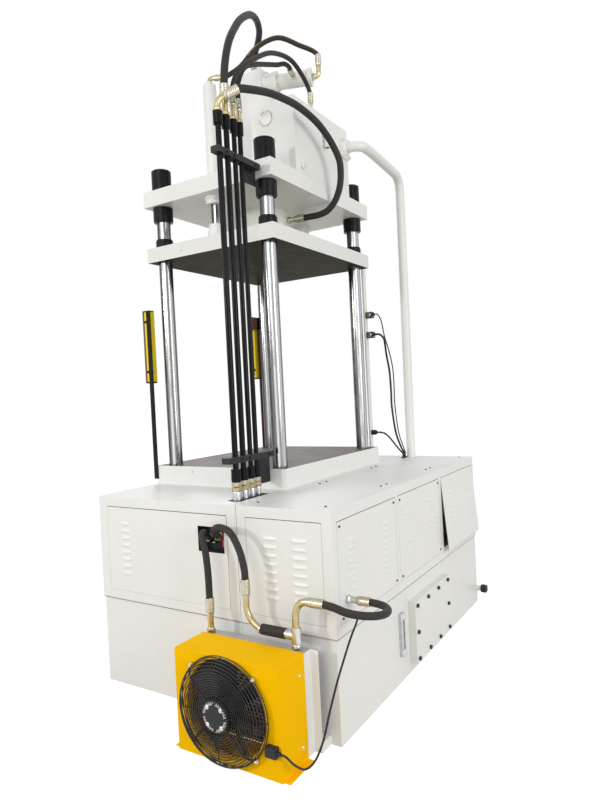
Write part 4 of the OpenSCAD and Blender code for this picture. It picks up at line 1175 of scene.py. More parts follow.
@dataclass(frozen=True)
class Lamp:
    """One soft square lamp, aimed at a point."""

    name: str
    at: Point
    aim: Point
    size: float
    power: float

    def build(self) -> None:
        """Makes the lamp."""
        data = bpy.data.lights.new(self.name, "AREA")
        data.shape = "SQUARE"
        data.size = self.size
        data.energy = self.power
        lamp = bpy.data.objects.new(self.name, data)
        lamp.location = self.at
        way = Vector(self.aim) - Vector(self.at)
        lamp.rotation_euler = way.to_track_quat("-Z", "Y").to_euler()
        bpy.context.scene.collection.objects.link(lamp)


@dataclass(frozen=True)
class Studio:
    """Pale floor, white surroundings and soft lamps."""

    floor_size: float = 60.0
    floor_drop: float = 0.001
    floor_colours: tuple[Colour, Colour] = ((0.42, 0.4032, 0.357), (0.44, 0.4074, 0.3612))
    floor_glow: float = 0.82
    sky_colour: Colour = (0.93, 0.96, 1.0)
    sky: float = 0.62
    lamps: tuple[Lamp, ...] = (
        Lamp("key_lamp", (7.4, 0.8, 4.6), (0.0, 0.3, 1.2), 4.0, 130.0),
        Lamp("edge_lamp", (6.6, -3.4, 3.0), (0.6, 0.4, 0.8), 0.55, 130.0),
        Lamp("fill_lamp", (2.6, 8.6, 3.0), (0.0, 0.3, 1.6), 4.2, 305.0),
        Lamp("far_lamp", (-4.5, -4.2, 4.8), (0.0, 0.2, 1.6), 3.6, 90.0),
    )

    def build(self) -> None:
        """Makes the floor, the surroundings and the lamps."""
        bpy.context.scene.view_settings.view_transform = "Standard"
        self._world()
        self._floor()
        for lamp in self.lamps:
            lamp.build()
        LOG.info("studio: %d lamps", len(self.lamps))

    def _seen(self, tree: Tree) -> Socket:
        """A value that is 1 for camera, glossy and transmission rays.

        Args:
            tree: The node tree to build in.

        Returns:
            The value's socket.
        """
        path = tree.add("ShaderNodeLightPath").outputs
        mirrored = tree.maths("MAXIMUM", path["Is Glossy Ray"], path["Is Transmission Ray"])
        return tree.maths("MAXIMUM", path["Is Camera Ray"], mirrored)

    def _world(self) -> None:
        """Makes the surroundings: white to look at, softer as light."""
        world = bpy.data.worlds.new("Surroundings")
        world.use_nodes = True
        bpy.context.scene.world = world
        tree = Tree(world.node_tree)
        world.node_tree.nodes.clear()
        light = tree.add("ShaderNodeBackground", Color=(*self.sky_colour, 1.0), Strength=self.sky)
        white = tree.add("ShaderNodeBackground", Color=(1.0, 1.0, 1.0, 1.0), Strength=1.0)
        mixed = tree.add("ShaderNodeMixShader")
        for index, given in enumerate((self._seen(tree), light.outputs[0], white.outputs[0])):
            tree.feed(given, mixed.inputs[index])
        tree.feed(mixed.outputs[0], tree.add("ShaderNodeOutputWorld").inputs[0])

    def _floor_finish(self) -> Material:
        """Makes the floor's finish, which shows white and keeps the machine's shadow.

        Returns:
            The finished material.
        """
        material = bpy.data.materials.new("pale_floor")
        material.use_nodes = True
        tree = Tree(material.node_tree)
        material.node_tree.nodes.clear()
        matt = tree.add("ShaderNodeBsdfDiffuse")
        tree.feed(tree.mix(tree.noise(tree.where(), 1.5), *self.floor_colours), matt.inputs["Color"])
        glow = tree.add("ShaderNodeEmission")
        tree.feed(tree.times(self._seen(tree), self.floor_glow), glow.inputs["Strength"])
        both = tree.add("ShaderNodeAddShader")
        tree.feed(matt.outputs[0], both.inputs[0])
        tree.feed(glow.outputs[0], both.inputs[1])
        tree.feed(both.outputs[0], tree.add("ShaderNodeOutputMaterial").inputs[0])
        return material

    def _floor(self) -> None:
        """Makes the floor."""
        data = bpy.data.meshes.new("floor")
        h, z = self.floor_size / 2, -self.floor_drop
        data.from_pydata([(-h, -h, z), (h, -h, z), (h, h, z), (-h, h, z)], [], [(0, 1, 2, 3)])
        data.materials.append(self._floor_finish())
        floor = bpy.data.objects.new("floor", data)
        bpy.context.scene.collection.objects.link(floor)


# Base cabinet


class Side(Enum):
    """A side of the base, by how far its panels are turned from those of the rear."""

    REAR = 0.0
    LEFT = 90.0
    FRONT = 180.0
    RIGHT = -90.0


@dataclass(frozen=True)
class LouvrePanel:
    """One flat panel with columns of pressed louvres, as on all four sides of the base."""

    place: Matrix
    width: float
    columns: tuple[float, ...]
    count: int
    first: float
    pitch: float
    louvre: float = 62.0
    height: float = 440.0
    sheet: float = 3.0
    hood_height: float = 15.0
    hood_depth: float = 6.8
    across: int = 14
    rise: int = 6
    cutout: tuple[float, float, float, float] | None = None

    def build(self, maker: Maker) -> None:
        """Adds the sheet, the painted seam shade round it and its louvres to a piece.

        Args:
            maker: The piece under way.
        """
        w, h = self.width, self.height
        maker.boxes(self._sheets(), Finish.CREAM, 0.0 if self.cutout else 0.0012, self.place)
        # Dark strip along the top edge: painted seam shadow.
        maker.boxes([((-1, -1, h - 0.5), (w + 1, 0.25, h + 2.5))], Finish.SEAM_SHADOW, place=self.place)
        # Grey strips at the sides and foot: painted shade in the gaps round the panel.
        gap_shade_strips = (((-1, -1, 0), (0, 0.2, h)), ((w, -1, 0), (w + 1, 0.2, h)), ((-1, -1, -1), (w + 1, 0.2, 0)))
        maker.boxes(gap_shade_strips, Finish.PRIMER_AND_GAP_SHADE, place=self.place)
        for x in self.columns:
            for i in range(self.count):
                self._hood(maker, x, self.first + i * self.pitch)

    def _sheets(self) -> list[tuple[Point, Point]]:
        """The sheet's boxes: one, or four round a cut-out.

        Returns:
            The lowest and highest corner of each box, in millimetres.
        """
        w, h, t = self.width, self.height, self.sheet
        if self.cutout is None:
            return [((0, -t, 0), (w, 0, h))]
        x0, x1, z0, z1 = self.cutout
        return [((0, -t, 0), (x0, 0, h)), ((x1, -t, 0), (w, 0, h)),
                ((x0, -t, 0), (x1, 0, z0)), ((x0, -t, z1), (x1, 0, h))]

    def _hood(self, maker: Maker, x: float, z: float) -> None:
        """Adds one pressed hood with rounded ends, its mouth below closed by a grey face of painted shade.

        Args:
            maker: The piece under way.
            x: Its middle along the panel, in millimetres.
            z: Its lower lip.
        """
        spread = [-math.cos(math.pi * i / self.across) for i in range(self.across + 1)]
        lines = []
        for v in (j / self.rise for j in range(self.rise + 1)):
            back = self.hood_depth * math.cos(v * math.pi / 2) ** 0.8
            lines.append([mm(x + u * self.louvre / 2, back * math.sqrt(max(0.0, 1 - abs(u) ** 5)),
                             z + v * self.hood_height) for u in spread])
        grid = [maker.ring(self.place, line) for line in lines]
        # The face across the mouth is painted shade where the hood opens into the cabinet.
        mouth = maker.ring(self.place, [mm(x + u * self.louvre / 2, 0.2, z) for u in spread])
        maker.skin(grid, Finish.CREAM, closed=False, caps=False)
        maker.skin([mouth, grid[0]], Finish.PRIMER_AND_GAP_SHADE, closed=False, caps=False)


@dataclass
class BaseCabinet(SubAssembly):
    """Raised base: plinth, oil tank, enclosures, panels, cover plates and the small things on them."""

    dressed: tuple[tuple[str, Finish, float], ...] = (
        ("press_base", Finish.CREAM, 0.003), ("front_enclosure", Finish.CREAM, 0.0035),
        ("oil_tank", Finish.CREAM, 0.003), ("tank_lid", Finish.CREAM, 0.002),
        ("clean_out_cover", Finish.CREAM, 0.003), ("power_unit_housing", Finish.CREAM, 0.0035),
        ("top_cover_plates", Finish.CREAM, 0.001), ("panel_screws", Finish.SCREWS, 0.0006),
        ("cable_glands", Finish.PLASTIC, 0.001))
    windowed: tuple[str, ...] = ("front_enclosure", "power_unit_housing", "top_cover_plates", "oil_tank")
    base_x: float = 1005.0
    front_y: float = -475.0
    rear_y: float = 965.0
    panel_z: float = 506.0
    wide: float = 811.0
    narrow: float = 400.0
    front_panel: float = 885.0
    rear_panel: float = 620.0
    rear_pitch: float = 655.0
    recess: float = 60.0
    recess_wall: float = 2.0
    cutout: tuple[float, float, float, float] = (18.0, 178.0, 260.0, 382.0)
    ajar: float = 4.6
    gauge_x: float = 335.0
    gauge_z: tuple[float, float] = (133.0, 352.0)
    tank_rear_y: float = 959.0
    drain: Point = (-987.0, 959.0, 90.0)
    seam_y: float = 460.0
    plinth_top: float = 457.0
    deck: float = 999.0

    def on(self, side: Side, along: float) -> Matrix:
        """Placement of a panel.

        Args:
            side: The side of the base that it is on.
            along: Where its first edge is along that side, in millimetres.

        Returns:
            The placement as a matrix.
        """
        x, y = {Side.REAR: (along, self.rear_y), Side.LEFT: (-self.base_x, along),
                Side.FRONT: (along, self.front_y), Side.RIGHT: (self.base_x, along)}[side]
        move = Matrix.Translation(Vector((x, y, self.panel_z)) * MM)
        return move @ Matrix.Rotation(math.radians(side.value), 4, "Z")

    def _seams(self) -> None:
        """Adds the shadow lines where the enclosures meet each other and the plinth."""
        maker = Maker("enclosure_seams")
        x, seam = self.base_x, self.seam_y
        low, high = self.plinth_top - 1.6, self.plinth_top + 0.4
        for side in (-1, 1):
            a, b = sorted((side * (x - 1), side * (x + 0.25)))
            maker.boxes((((a, seam - 0.8, self.plinth_top + 1), (b, seam + 0.8, self.deck)),
                         ((a, self.front_y + 1, low), (b, seam, high)),
                         ((a, seam, low), (b, self.rear_y - 1, high))), Finish.SEAM_SHADOW)
        maker.boxes([((-x, self.rear_y - 1, low), (x, self.rear_y + 0.25, high))], Finish.SEAM_SHADOW)
        maker.done(Slot.CREAM)

    def _side_panels(self) -> None:
        """Builds the louvred side panels, with the recess where the cooler's hoses leave."""
        maker = Maker("side_panel_sheets")
        front = self.on(Side.RIGHT, 400.0)
        LouvrePanel(front, self.wide, (680.0,), 8, 92.0, 37.0, cutout=self.cutout).build(maker)
        for place in (self.on(Side.RIGHT, 912.0), self.on(Side.LEFT, 512.0)):
            LouvrePanel(place, self.narrow, (116.0, 270.0), 8, 84.0, 38.0, 74.0).build(maker)
        x0, x1, z0, z1 = self.cutout
        wall, deep = self.recess_wall, -self.recess
        # The recess walls are black: painted shade of the dark opening into the enclosure.
        maker.boxes((((x0 - wall, deep - wall, z0 - wall), (x1 + wall, deep, z1 + wall)),
                     ((x0 - wall, deep, z0 - wall), (x0, -1, z1 + wall)),
                     ((x1, deep, z0 - wall), (x1 + wall, -1, z1 + wall)),
                     ((x0, deep, z0 - wall), (x1, -1, z0)),
                     ((x0, deep, z1), (x1, -1, z1 + wall))), Finish.PLASTIC, place=front)
        maker.done(Slot.CREAM, "side_panels", angle=30.0)
        cap = Maker("recess_red_cap")
        cap.box(mm(22, deep, 285), mm(44, deep + 42, 345), Finish.RED, 0.003, front)
        cap.done(Slot.BLACK_PLASTIC)

    def _far_panels(self) -> None:
        """Builds the panels of the front and the far side."""
        maker = Maker("far_panel_sheets")
        LouvrePanel(self.on(Side.LEFT, -411.0), self.wide, (131.0,), 8, 92.0, 37.0).build(maker)
        for x in (945.0, -60.0):
            place = self.on(Side.FRONT, x)
            LouvrePanel(place, self.front_panel, (128.0, 757.0), 9, 96.0, 30.0).build(maker)
        maker.done(Slot.CREAM, "far_access_panels", angle=30.0)

    def _rear_panels(self) -> None:
        """Builds the two closed rear panels and the one that leans out."""
        width = self.rear_panel
        first, middle, last = (self.on(Side.REAR, k * self.rear_pitch - width / 2) for k in (1, 0, -1))
        hook = Matrix.Translation(Vector((0, -3, 439)) * MM)
        unhook = Matrix.Translation(Vector((0, 3, -440)) * MM)
        lean = last @ hook @ Matrix.Rotation(math.radians(self.ajar), 4, "X") @ unhook
        for name, node, places in (("rear_panel_sheets", "rear_panels", (first, middle)),
                                   ("leaning_panel_sheet", "rear_panel_ajar", (lean,))):
            maker = Maker(name)
            for place in places:
                LouvrePanel(place, width, (128.0, width - 128.0), 9, 95.0, 30.0).build(maker)
            maker.done(Slot.CREAM, node, angle=30.0)

    def _gauge(self) -> None:
        """Builds the oil level gauge: end blocks, frame, clear tube and its screws."""
        maker = Maker("oil_level_gauge")
        x, (z0, z1), y = self.gauge_x, self.gauge_z, self.tank_rear_y
        for low, high in ((z0, z0 + 34), (z1 - 34, z1)):
            maker.box(mm(x - 24, y, low), mm(x + 24, y + 20, high), Finish.ZINC, 0.004)
            maker.nut(mm(x, y + 19.5, (low + high) / 2), Y_AXIS, 0.017, 0.0005, Finish.ZINC)
        rails = [((x + s * 18 - 6, y, z0 + 30), (x + s * 18 + 6, y + 19, z1 - 30)) for s in (-1, 1)]
        maker.boxes(rails, Finish.ZINC, 0.002)
        maker.box(mm(x - 13, y, z0 + 30), mm(x + 13, y + 6, z1 - 30), Finish.PRIMER_AND_GAP_SHADE)
        maker.bar(mm(x, y + 13, z0 + 31), mm(x, y + 13, z1 - 31), 0.0055, Finish.CLEAR, 24)
        maker.done(Slot.GAUGE, "level_gauge")

    def _drain_stub(self) -> None:
        """Builds the drain stub with its knurled cap."""
        x, y, z = self.drain
        maker = Maker("drain_stub_and_cap")
        maker.bar(mm(x, y, z), mm(x, y + 34, z), 0.018, Finish.CREAM, 40, 0.001)
        maker.prism(toothed(24, 27.0, 25.7), laid(mm(x, y + 34, z), Y_AXIS), 0.030, Finish.PLASTIC)
        dish = ((0.0262, 0.0), (0.0262, 0.003), (0.024, 0.006), (0.012, 0.006), (0.011, 0.002), (0.0, 0.002))
        maker.turned(dish, mm(x, y + 64, z), Y_AXIS, Finish.PLASTIC)
        maker.done(Slot.BLACK_PLASTIC, "drain_cap")

    def build(self) -> None:
        """Builds and dresses the whole base."""
        self.dress()
        self._seams()
        self._side_panels()
        self._far_panels()
        self._rear_panels()
        self._gauge()
        self._drain_stub()


@dataclass
class PowerUnit(SubAssembly):
    """Motor, pump and valve block inside the rear housing."""

    dressed: tuple[tuple[str, Finish, float], ...] = (
        ("electric_motor", Finish.MOTOR, 0.0015), ("bell_housing", Finish.STEEL, 0.0015),
        ("gear_pump", Finish.BLACK, 0.0015), ("drive_coupling", Finish.RED, 0.0015),
        ("valve_manifold", Finish.STEEL, 0.0015))


# Press frame, slide and cylinders


@dataclass
class PressFrame(SubAssembly):
    """Bed, four columns with their nuts, and crown."""

    dressed: tuple[tuple[str, Finish, float], ...] = (
        ("bed", Finish.BED, 0.003), ("crown", Finish.CREAM, 0.003), ("columns", Finish.CHROME, 0.001),
        ("column_nuts", Finish.BLACK, 0.002))


@dataclass
class SlideGroup(SubAssembly):
    """Moving plate with its guide bushes, ram, return rods and their anchors."""

    dressed: tuple[tuple[str, Finish, float], ...] = (
        ("slide", Finish.SLIDE, 0.003), ("guide_bushes", Finish.BLACK, 0.0015),
        ("main_ram", Finish.ROD, 0.001), ("return_rods", Finish.ROD, 0.001),
        ("rod_anchors", Finish.CREAM, 0.002))


@dataclass(frozen=True)
class ValveSeat:
    """Where the fill valve stands on the head of the main cylinder, in millimetres."""

    centre: Point = (60.0, 80.0, 3410.0)
    yaw: float = math.radians(20.0)
    pilot_port: float = 212.0
    elbow: float = 362.0
    elbow_top: float = 3530.0
    elbow_stem: float = 320.0
    pilot_stem: tuple[float, float] = (62.0, 110.0)
    flange: float = 107.0
    flange_bolts: float = 52.5
    collar: float = 45.0
    collar_bolts: float = 56.0

    def along(self) -> Vector:
        """Direction of the valve's long axis."""
        return Vector((-math.sin(self.yaw), math.cos(self.yaw), 0))

    def across(self) -> Vector:
        """Level direction square to the valve's long axis."""
        return Vector((math.cos(self.yaw), math.sin(self.yaw), 0))

    def at(self, along: float, across: float = 0.0) -> Vector:
        """A point on the level of the valve's axis."""
        return Vector(self.centre) + self.along() * along + self.across() * across

    def spoke(self, angle: float) -> Vector:
        """A direction out from the valve's long axis."""
        return self.across() * math.cos(angle) + Vector((0, 0, math.sin(angle)))


@dataclass(frozen=True)
class MainPort:
    """The port low on the main cylinder's side, in millimetres."""

    angle: float = math.radians(98.0)
    height: float = 2576.0
    face: float = 172.0
    hose_end: float = 242.0
    straight: float = 320.0

    def at(self, radius: float) -> Vector:
        """A point on the port's axis, that far from the cylinder's."""
        return Vector((radius * math.cos(self.angle), radius * math.sin(self.angle), self.height))


VALVE = ValveSeat()
MAIN_PORT = MainPort()


@dataclass
class TopWorks(SubAssembly):
    """Main and return cylinders, fill tank, fill valve and the return pipe."""

    dressed: tuple[tuple[str, Finish, float], ...] = (
        ("main_cylinder", Finish.CREAM, 0.003), ("return_cylinders", Finish.CREAM, 0.002),
        ("fill_tank", Finish.CREAM, 0.003), ("fill_valve", Finish.CREAM, 0.002))
    pipe_radius: float = 0.031
    port: Point = (-269.5, 459.5, 3022.0)
    route: tuple[Point, ...] = (
        (-269.5, 465.5, 3022), (-269.5, 502, 3023), (-280, 537, 3024), (-305, 562, 3025), (-340, 572, 3025),
        (-480, 568, 3024), (-620, 561, 3019), (-760, 553, 3015), (-868, 548, 3009), (-915, 545, 2997),
        (-948, 543, 2964), (-960, 542, 2920), (-960, 542, 2800), (-955, 541, 1900), (-946, 540, 1249),
        (-946, 540, 949), (-946, 540, 457))
    plug: Point = (247.5, 458.5, 2778.0)
    plate: Point = (317.5, 274.5, 3063.0)
    breather: Point = (-15.0, 481.5, 2949.5)
    return_x: float = 466.0
    gland_z: float = 2621.2
    gland_r: float = 49.5

    def build(self) -> None:
        """Dresses the cylinders and the tank, and builds the pipe and the small pieces."""
        self.dress()
        self._pipe()
        self._tank_details()
        self._gland_bolts()

    def _pipe(self) -> None:
        """Builds the white return pipe with its square bolted flange on the tank."""
        maker = Maker("white_return_pipe")
        maker.swept(smooth_path(self.route, 10), self.pipe_radius, Finish.CREAM, 36)
        x, y, z = self.port
        maker.box(mm(x - 48, y, z - 64), mm(x + 48, y + 14, z + 64), Finish.CREAM, 0.003)
        weld = ((0.044, 0.0), (0.044, 0.006), (0.036, 0.014), (0.0315, 0.018))
        maker.turned(weld, mm(x, y + 13, z), Y_AXIS, Finish.CREAM, 48)
        for bx, bz in ((x + sx * 34, z + sz * 50) for sx in (-1, 1) for sz in (-1, 1)):
            maker.turned(((0.0115, 0.0), (0.0115, 0.002)), mm(bx, y + 14, bz), Y_AXIS, Finish.CREAM, 24)
            maker.nut(mm(bx, y + 16, bz), Y_AXIS, 0.019, 0.011, Finish.CREAM)
            maker.bar(mm(bx, y + 26, bz), mm(bx, y + 32, bz), 0.0055, Finish.CREAM, 16, 0.001)
        maker.done(Slot.CREAM, "return_pipe")

    def _tank_details(self) -> None:
        """Adds the tank's plug, its round plate, a dark disc as painted shade in the breather's mouth, and
        the valve's bolts.
        """
        maker = Maker("tank_plug_and_valve_bolts")
        x, y, z = self.plug
        maker.turned(((0.024, 0.0), (0.024, 0.014), (0.021, 0.017), (0.0, 0.017)), mm(x, y, z), Y_AXIS,
                     Finish.CREAM, 36)
        maker.nut(mm(x, y + 16, z), Y_AXIS, 0.027, 0.013, Finish.CREAM)
        x, y, z = self.plate
        maker.torus(mm(x + 3, y, z), X_AXIS, 0.0405, 0.0028, Finish.NICKEL, 64)
        maker.turned(((0.0385, 0.0), (0.0385, 0.0012), (0.0370, 0.0020), (0.0, 0.0020)), mm(x + 1.5, y, z),
                     X_AXIS, Finish.ALLOY, 56)
        # Dark disc: painted shade inside the breather's open mouth.
        maker.turned(((0.0128, 0.0), (0.0128, 0.002), (0.0, 0.002)), mm(*self.breather), Z_AXIS,
                     Finish.LENS, 28)
        for angle in turns(8, math.pi / 8):
            at = VALVE.at(VALVE.flange) + VALVE.spoke(angle) * VALVE.flange_bolts
            maker.nut(at * MM, VALVE.along(), 0.017, 0.009, Finish.CREAM)
        for angle in (0.35, 1.2, 2.0, 2.8):
            at = VALVE.at(VALVE.collar) + VALVE.spoke(angle) * VALVE.collar_bolts
            maker.nut(at * MM, VALVE.spoke(angle), 0.020, 0.010, Finish.CREAM)
        maker.done(Slot.CREAM)

    def _gland_bolts(self) -> None:
        """Adds the bolt heads under the flanges of the return cylinders."""
        maker = Maker("return_gland_bolts")
        head = ((0.0095, 0.0), (0.0095, 0.010), (0.0088, 0.012), (0.005, 0.012), (0.005, 0.007), (0.0, 0.007))
        for x in (-self.return_x, self.return_x):
            for a in turns(6, math.radians(30)):
                at = (x + self.gland_r * math.cos(a), self.gland_r * math.sin(a), self.gland_z)
                maker.turned(head, mm(*at), (0, 0, -1), Finish.CREAM, 24)
        maker.done(Slot.CREAM)


# Pipes, fittings and hoses


@dataclass(frozen=True)
class Fitting:
    """A hose end: hexagon, bent stem and crimped ferrule, with its sizes in millimetres."""

    WIDEST_BEND = 2.04
    BEND_SHARE = 0.62
    FIRST_GROOVE = 0.020
    GROOVE_PITCH = 0.011

    points: tuple[Point, ...]
    stem: float
    stem_finish: Finish
    hose: float
    ferrule: float
    nut_finish: Finish

    def build(self, maker: Maker) -> None:
        """Adds the fitting to a piece.

        Args:
            maker: The piece under way.
        """
        points = [Vector(p) * MM for p in self.points]
        way = (points[1] - points[0]).normalized()
        flats = (self.stem + 8) * MM
        maker.nut(points[0], way, flats, 0.016, self.nut_finish)
        collar = ((flats * 0.46, 0.0), (flats * 0.46, 0.004), (self.stem * 0.53 * MM, 0.007))
        maker.turned(collar, points[0] + way * 0.016, way, self.nut_finish)
        maker.swept(self._rounded(points), self.stem * 0.5 * MM, self.stem_finish, 24)
        self._crimp(maker, points[-1], (points[-1] - points[-2]).normalized())

    def _rounded(self, points: list[Vector]) -> list[Vector]:
        """Rounds the corners of the stem's line.

        Args:
            points: The line's corners in metres.

        Returns:
            The rounded line's points.
        """
        path = [points[0]]
        for before, corner, after in zip(points, points[1:], points[2:]):
            back, on = before - corner, after - corner
            reach = min(back.length, on.length, self.stem * self.WIDEST_BEND * MM) * self.BEND_SHARE
            a, b = corner + back.normalized() * reach, corner + on.normalized() * reach
            for t in (i / 8 for i in range(9)):
                path.append(a * (1 - t) ** 2 + corner * 2 * t * (1 - t) + b * t * t)
        path.append(points[-1])
        return path

    def _crimp(self, maker: Maker, end: Vector, way: Vector) -> None:
        """Adds the pressed ferrule, which grips the hose past its end.

        Args:
            maker: The piece under way.
            end: Where the stem ends.
            way: The stem's direction there.
        """
        r = (self.hose / 2 + 4.5) * MM
        neck = self.stem * MM
        profile = [(neck * 0.5, 0.0), (neck * 0.62, 0.002), (neck * 0.62, 0.010),
                   (r * 0.96, 0.012), (r, 0.014), (r, 0.020)]
        z = self.FIRST_GROOVE
        while z < self.ferrule * MM + 0.014:
            profile += [(r, z + 0.006), (r * 0.965, z + 0.0075), (r * 0.965, z + 0.0095),
                        (r, z + self.GROOVE_PITCH)]
            z += self.GROOVE_PITCH
        profile += [(r, z + 0.003), (r * 0.97, z + 0.005), (self.hose / 2 * MM, z + 0.005)]
        maker.turned(profile, end - way * 0.022, way, Finish.NICKEL, 36)


@dataclass
class PipeRow(SubAssembly):
    """Four pressure pipes with clamps, sleeves and the hose fittings above and below."""

    dressed: tuple[tuple[str, Finish, float], ...] = (
        ("pressure_pipes", Finish.PIPE, 0.0008), ("pipe_clamps", Finish.PLASTIC, 0.0015))
    pipe_x: tuple[float, ...] = (893.0, 832.0, 772.0, 722.0)
    pipe_y: float = 385.0
    pipe_top: float = 2868.0
    pipe_foot: float = 1089.0
    sleeve: tuple[float, ...] = (48.0, 44.0, 40.0, 38.0)
    main_top: float = 3485.0
    return_x: float = 466.0
    return_top: float = 3275.0
    port_x: float = 1102.0
    core_top: float = 430.0
    union_y: float = 825.0
    union_z: float = 490.0

    def build(self) -> None:
        """Dresses the pipes and builds the fittings."""
        self.dress()
        maker = Maker("hose_end_fittings")
        for fitting in self._pipe_ends() + self._cooler_ends():
            fitting.build(maker)
        self._feet(maker)
        self._valve_ports(maker)
        self._union(maker)
        maker.done(Slot.BRASS, "hose_fittings")

    def _pipe_ends(self) -> list[Fitting]:
        """The hose ends on the pipes, the main cylinder, the fill valve and the return cylinder.

        Returns:
            The fittings.
        """
        (a, b, c, d), y, top = self.pipe_x, self.pipe_y, self.pipe_top
        rx, rz = self.return_x, self.return_top
        brass, nickel = Finish.BRASS, Finish.NICKEL
        return [
            Fitting(((a, y, top), (a, y, 2925), (862, 425, 2950)), 30, brass, 38, 52, brass),
            Fitting(((b, y, top), (b, y, 2960)), 30, brass, 38, 52, brass),
            Fitting(((c, y, top), (c, y, 2950)), 24, brass, 26, 44, brass),
            Fitting(((d, y, top), (d, y, 2940)), 24, brass, 26, 44, brass),
            Fitting(((40, 20, self.main_top), (40, 20, 3550)), 32, nickel, 38, 46, nickel),
            Fitting(((-10, y, 3163), (-10, y, 3250)), 22, nickel, 26, 40, brass),
            Fitting(((rx, 0, rz), (rx, 0, 3312), (430, 26, 3322)), 24, brass, 28, 40, nickel),
        ]

    def _cooler_ends(self) -> list[Fitting]:
        """The hose ends in the recess, on the cooler and on the tank.

        Returns:
            The fittings.
        """
        x, y, core, z = self.port_x, self.union_y, self.core_top, self.union_z
        brass, nickel, zinc = Finish.BRASS, Finish.NICKEL, Finish.ZINC
        return [
            Fitting(((945, 280, 815), (975, 280, 815), (1000, 285, 835)), 26, nickel, 32, 6, zinc),
            Fitting(((945, 345, 825), (975, 345, 825), (1000, 347, 845)), 26, nickel, 32, 6, zinc),
            Fitting(((x, 360, core), (x, 360, 530)), 28, brass, 32, 50, brass),
            Fitting(((x, y, z), (x, 625, z), (x, 570, 545), (x, 570, 640)), 28, brass, 32, 50, zinc),
            Fitting(((x, y, core), (x, y, 600), (x, 862, 640), (x, 910, 640)), 31, brass, 32, 50, zinc),
            Fitting(((900, 965, 600), (900, 1030, 600)), 26, zinc, 32, 40, zinc),
        ]

    def _feet(self, maker: Maker) -> None:
        """Adds the plated sleeves and nuts under the pipes.

        Args:
            maker: The piece under way.
        """
        y, foot = self.pipe_y, self.pipe_foot
        for x, d in zip(self.pipe_x, self.sleeve):
            w = d * MM
            maker.bar(mm(x, y, foot - 150), mm(x, y, foot - 96), (w - 0.012) / 2, Finish.ZINC)
            sleeve = ((w * 0.43, 0.0), (w * 0.45, 0.003), (w * 0.45, 0.048), (w * 0.41, 0.052))
            maker.turned(sleeve, mm(x, y, foot - 100), Z_AXIS, Finish.ZINC, 32)
            maker.nut(mm(x, y, foot - 48), Z_AXIS, w - 0.004, 0.022, Finish.BRASS)
            maker.nut(mm(x, y, foot - 24), Z_AXIS, w - 0.007, 0.024, Finish.NICKEL)

    def _valve_ports(self, maker: Maker) -> None:
        """Adds the fittings on the fill valve, the blank port and the main cylinder's port.

        Args:
            maker: The piece under way.
        """
        pilot = [VALVE.at(VALVE.pilot_port, s) for s in VALVE.pilot_stem]
        Fitting(tuple(pilot), 22, Finish.NICKEL, 26, 36, Finish.BRASS).build(maker)
        corner = VALVE.at(VALVE.elbow)
        end = (corner.x, corner.y, VALVE.elbow_top - 40)
        elbow = (VALVE.at(VALVE.elbow_stem), corner, end)
        Fitting(elbow, 28, Finish.BRASS, 28, 40, Finish.NICKEL).build(maker)
        maker.nut(mm(-self.return_x, 0, self.return_top), Z_AXIS, 0.027, 0.016, Finish.ZINC)
        main = (MAIN_PORT.at(MAIN_PORT.face), MAIN_PORT.at(MAIN_PORT.hose_end))
        Fitting(main, 32, Finish.NICKEL, 38, 44, Finish.NICKEL).build(maker)

    def _union(self, maker: Maker) -> None:
        """Adds the black sleeve union on the cooler's cross pipe, with its plated tee.

        Args:
            maker: The piece under way.
        """
        x, y, z = self.port_x, self.union_y, self.union_z
        maker.bar(mm(x, 776, z), mm(x, 648, z), 0.023, Finish.RUBBER, 36, 0.003)
        for rim in (640.0, 776.0):
            maker.bar(mm(x, rim, z), mm(x, rim + 9, z), 0.0205, Finish.ZINC, 36, 0.001)
        maker.bar(mm(x, y, z - 34), mm(x, y, z + 34), 0.0215, Finish.ZINC, 36, 0.002)
        maker.bar(mm(x, y + 1, z), mm(x, y - 39, z), 0.0212, Finish.ZINC, 36, 0.002)


@dataclass(frozen=True)
class Cord:
    """A hose or cable with its given route in millimetres."""

    LINE_RADIUS = 0.0024
    LINE_SIDE = (0.62, 0.48, 0.62)
    LINE_SUNK = 0.9

    node: str
    route: tuple[Point, ...]
    diameter: float
    finish: Finish = Finish.RUBBER
    stiffness: Stiffness = Stiffness.STIFF
    steps: int = 8
    line: tuple[float, float] | None = None

    def build(self) -> None:
        path = smooth_path(self.route, self.steps)
        maker = Maker(self.node + "_run")
        maker.swept(path, self.diameter / 2 * MM, self.finish, 20 if self.diameter > 20 else 12)
        if self.line:
            maker.swept(self._lay_line(path), self.LINE_RADIUS, Finish.LINE, 8)
        obj = maker.done(Slot.HOSE, self.node, angle=60.0)
        length = path_length(path)
        LOG.info("%s: %.3f m long, %.0f mm", self.node, length, self.diameter)

    def _lay_line(self, path: list[Vector]) -> list[Vector]:
        """Centre line of the coloured lay line, which runs along part of the hose.

        Args:
            path: The hose's own points.

        Returns:
            Points just within the hose's outer and upper side.
        """
        low, high = (int(part * len(path)) for part in self.line)
        out = Vector(self.LINE_SIDE)
        line = []
        for before, point, after in zip(path[low:high], path[low + 1:high], path[low + 2:high]):
            way = (after - before).normalized()
            side = (out - way * out.dot(way)).normalized()
            line.append(point + side * (self.diameter / 2 - self.LINE_SUNK) * MM)
        return line


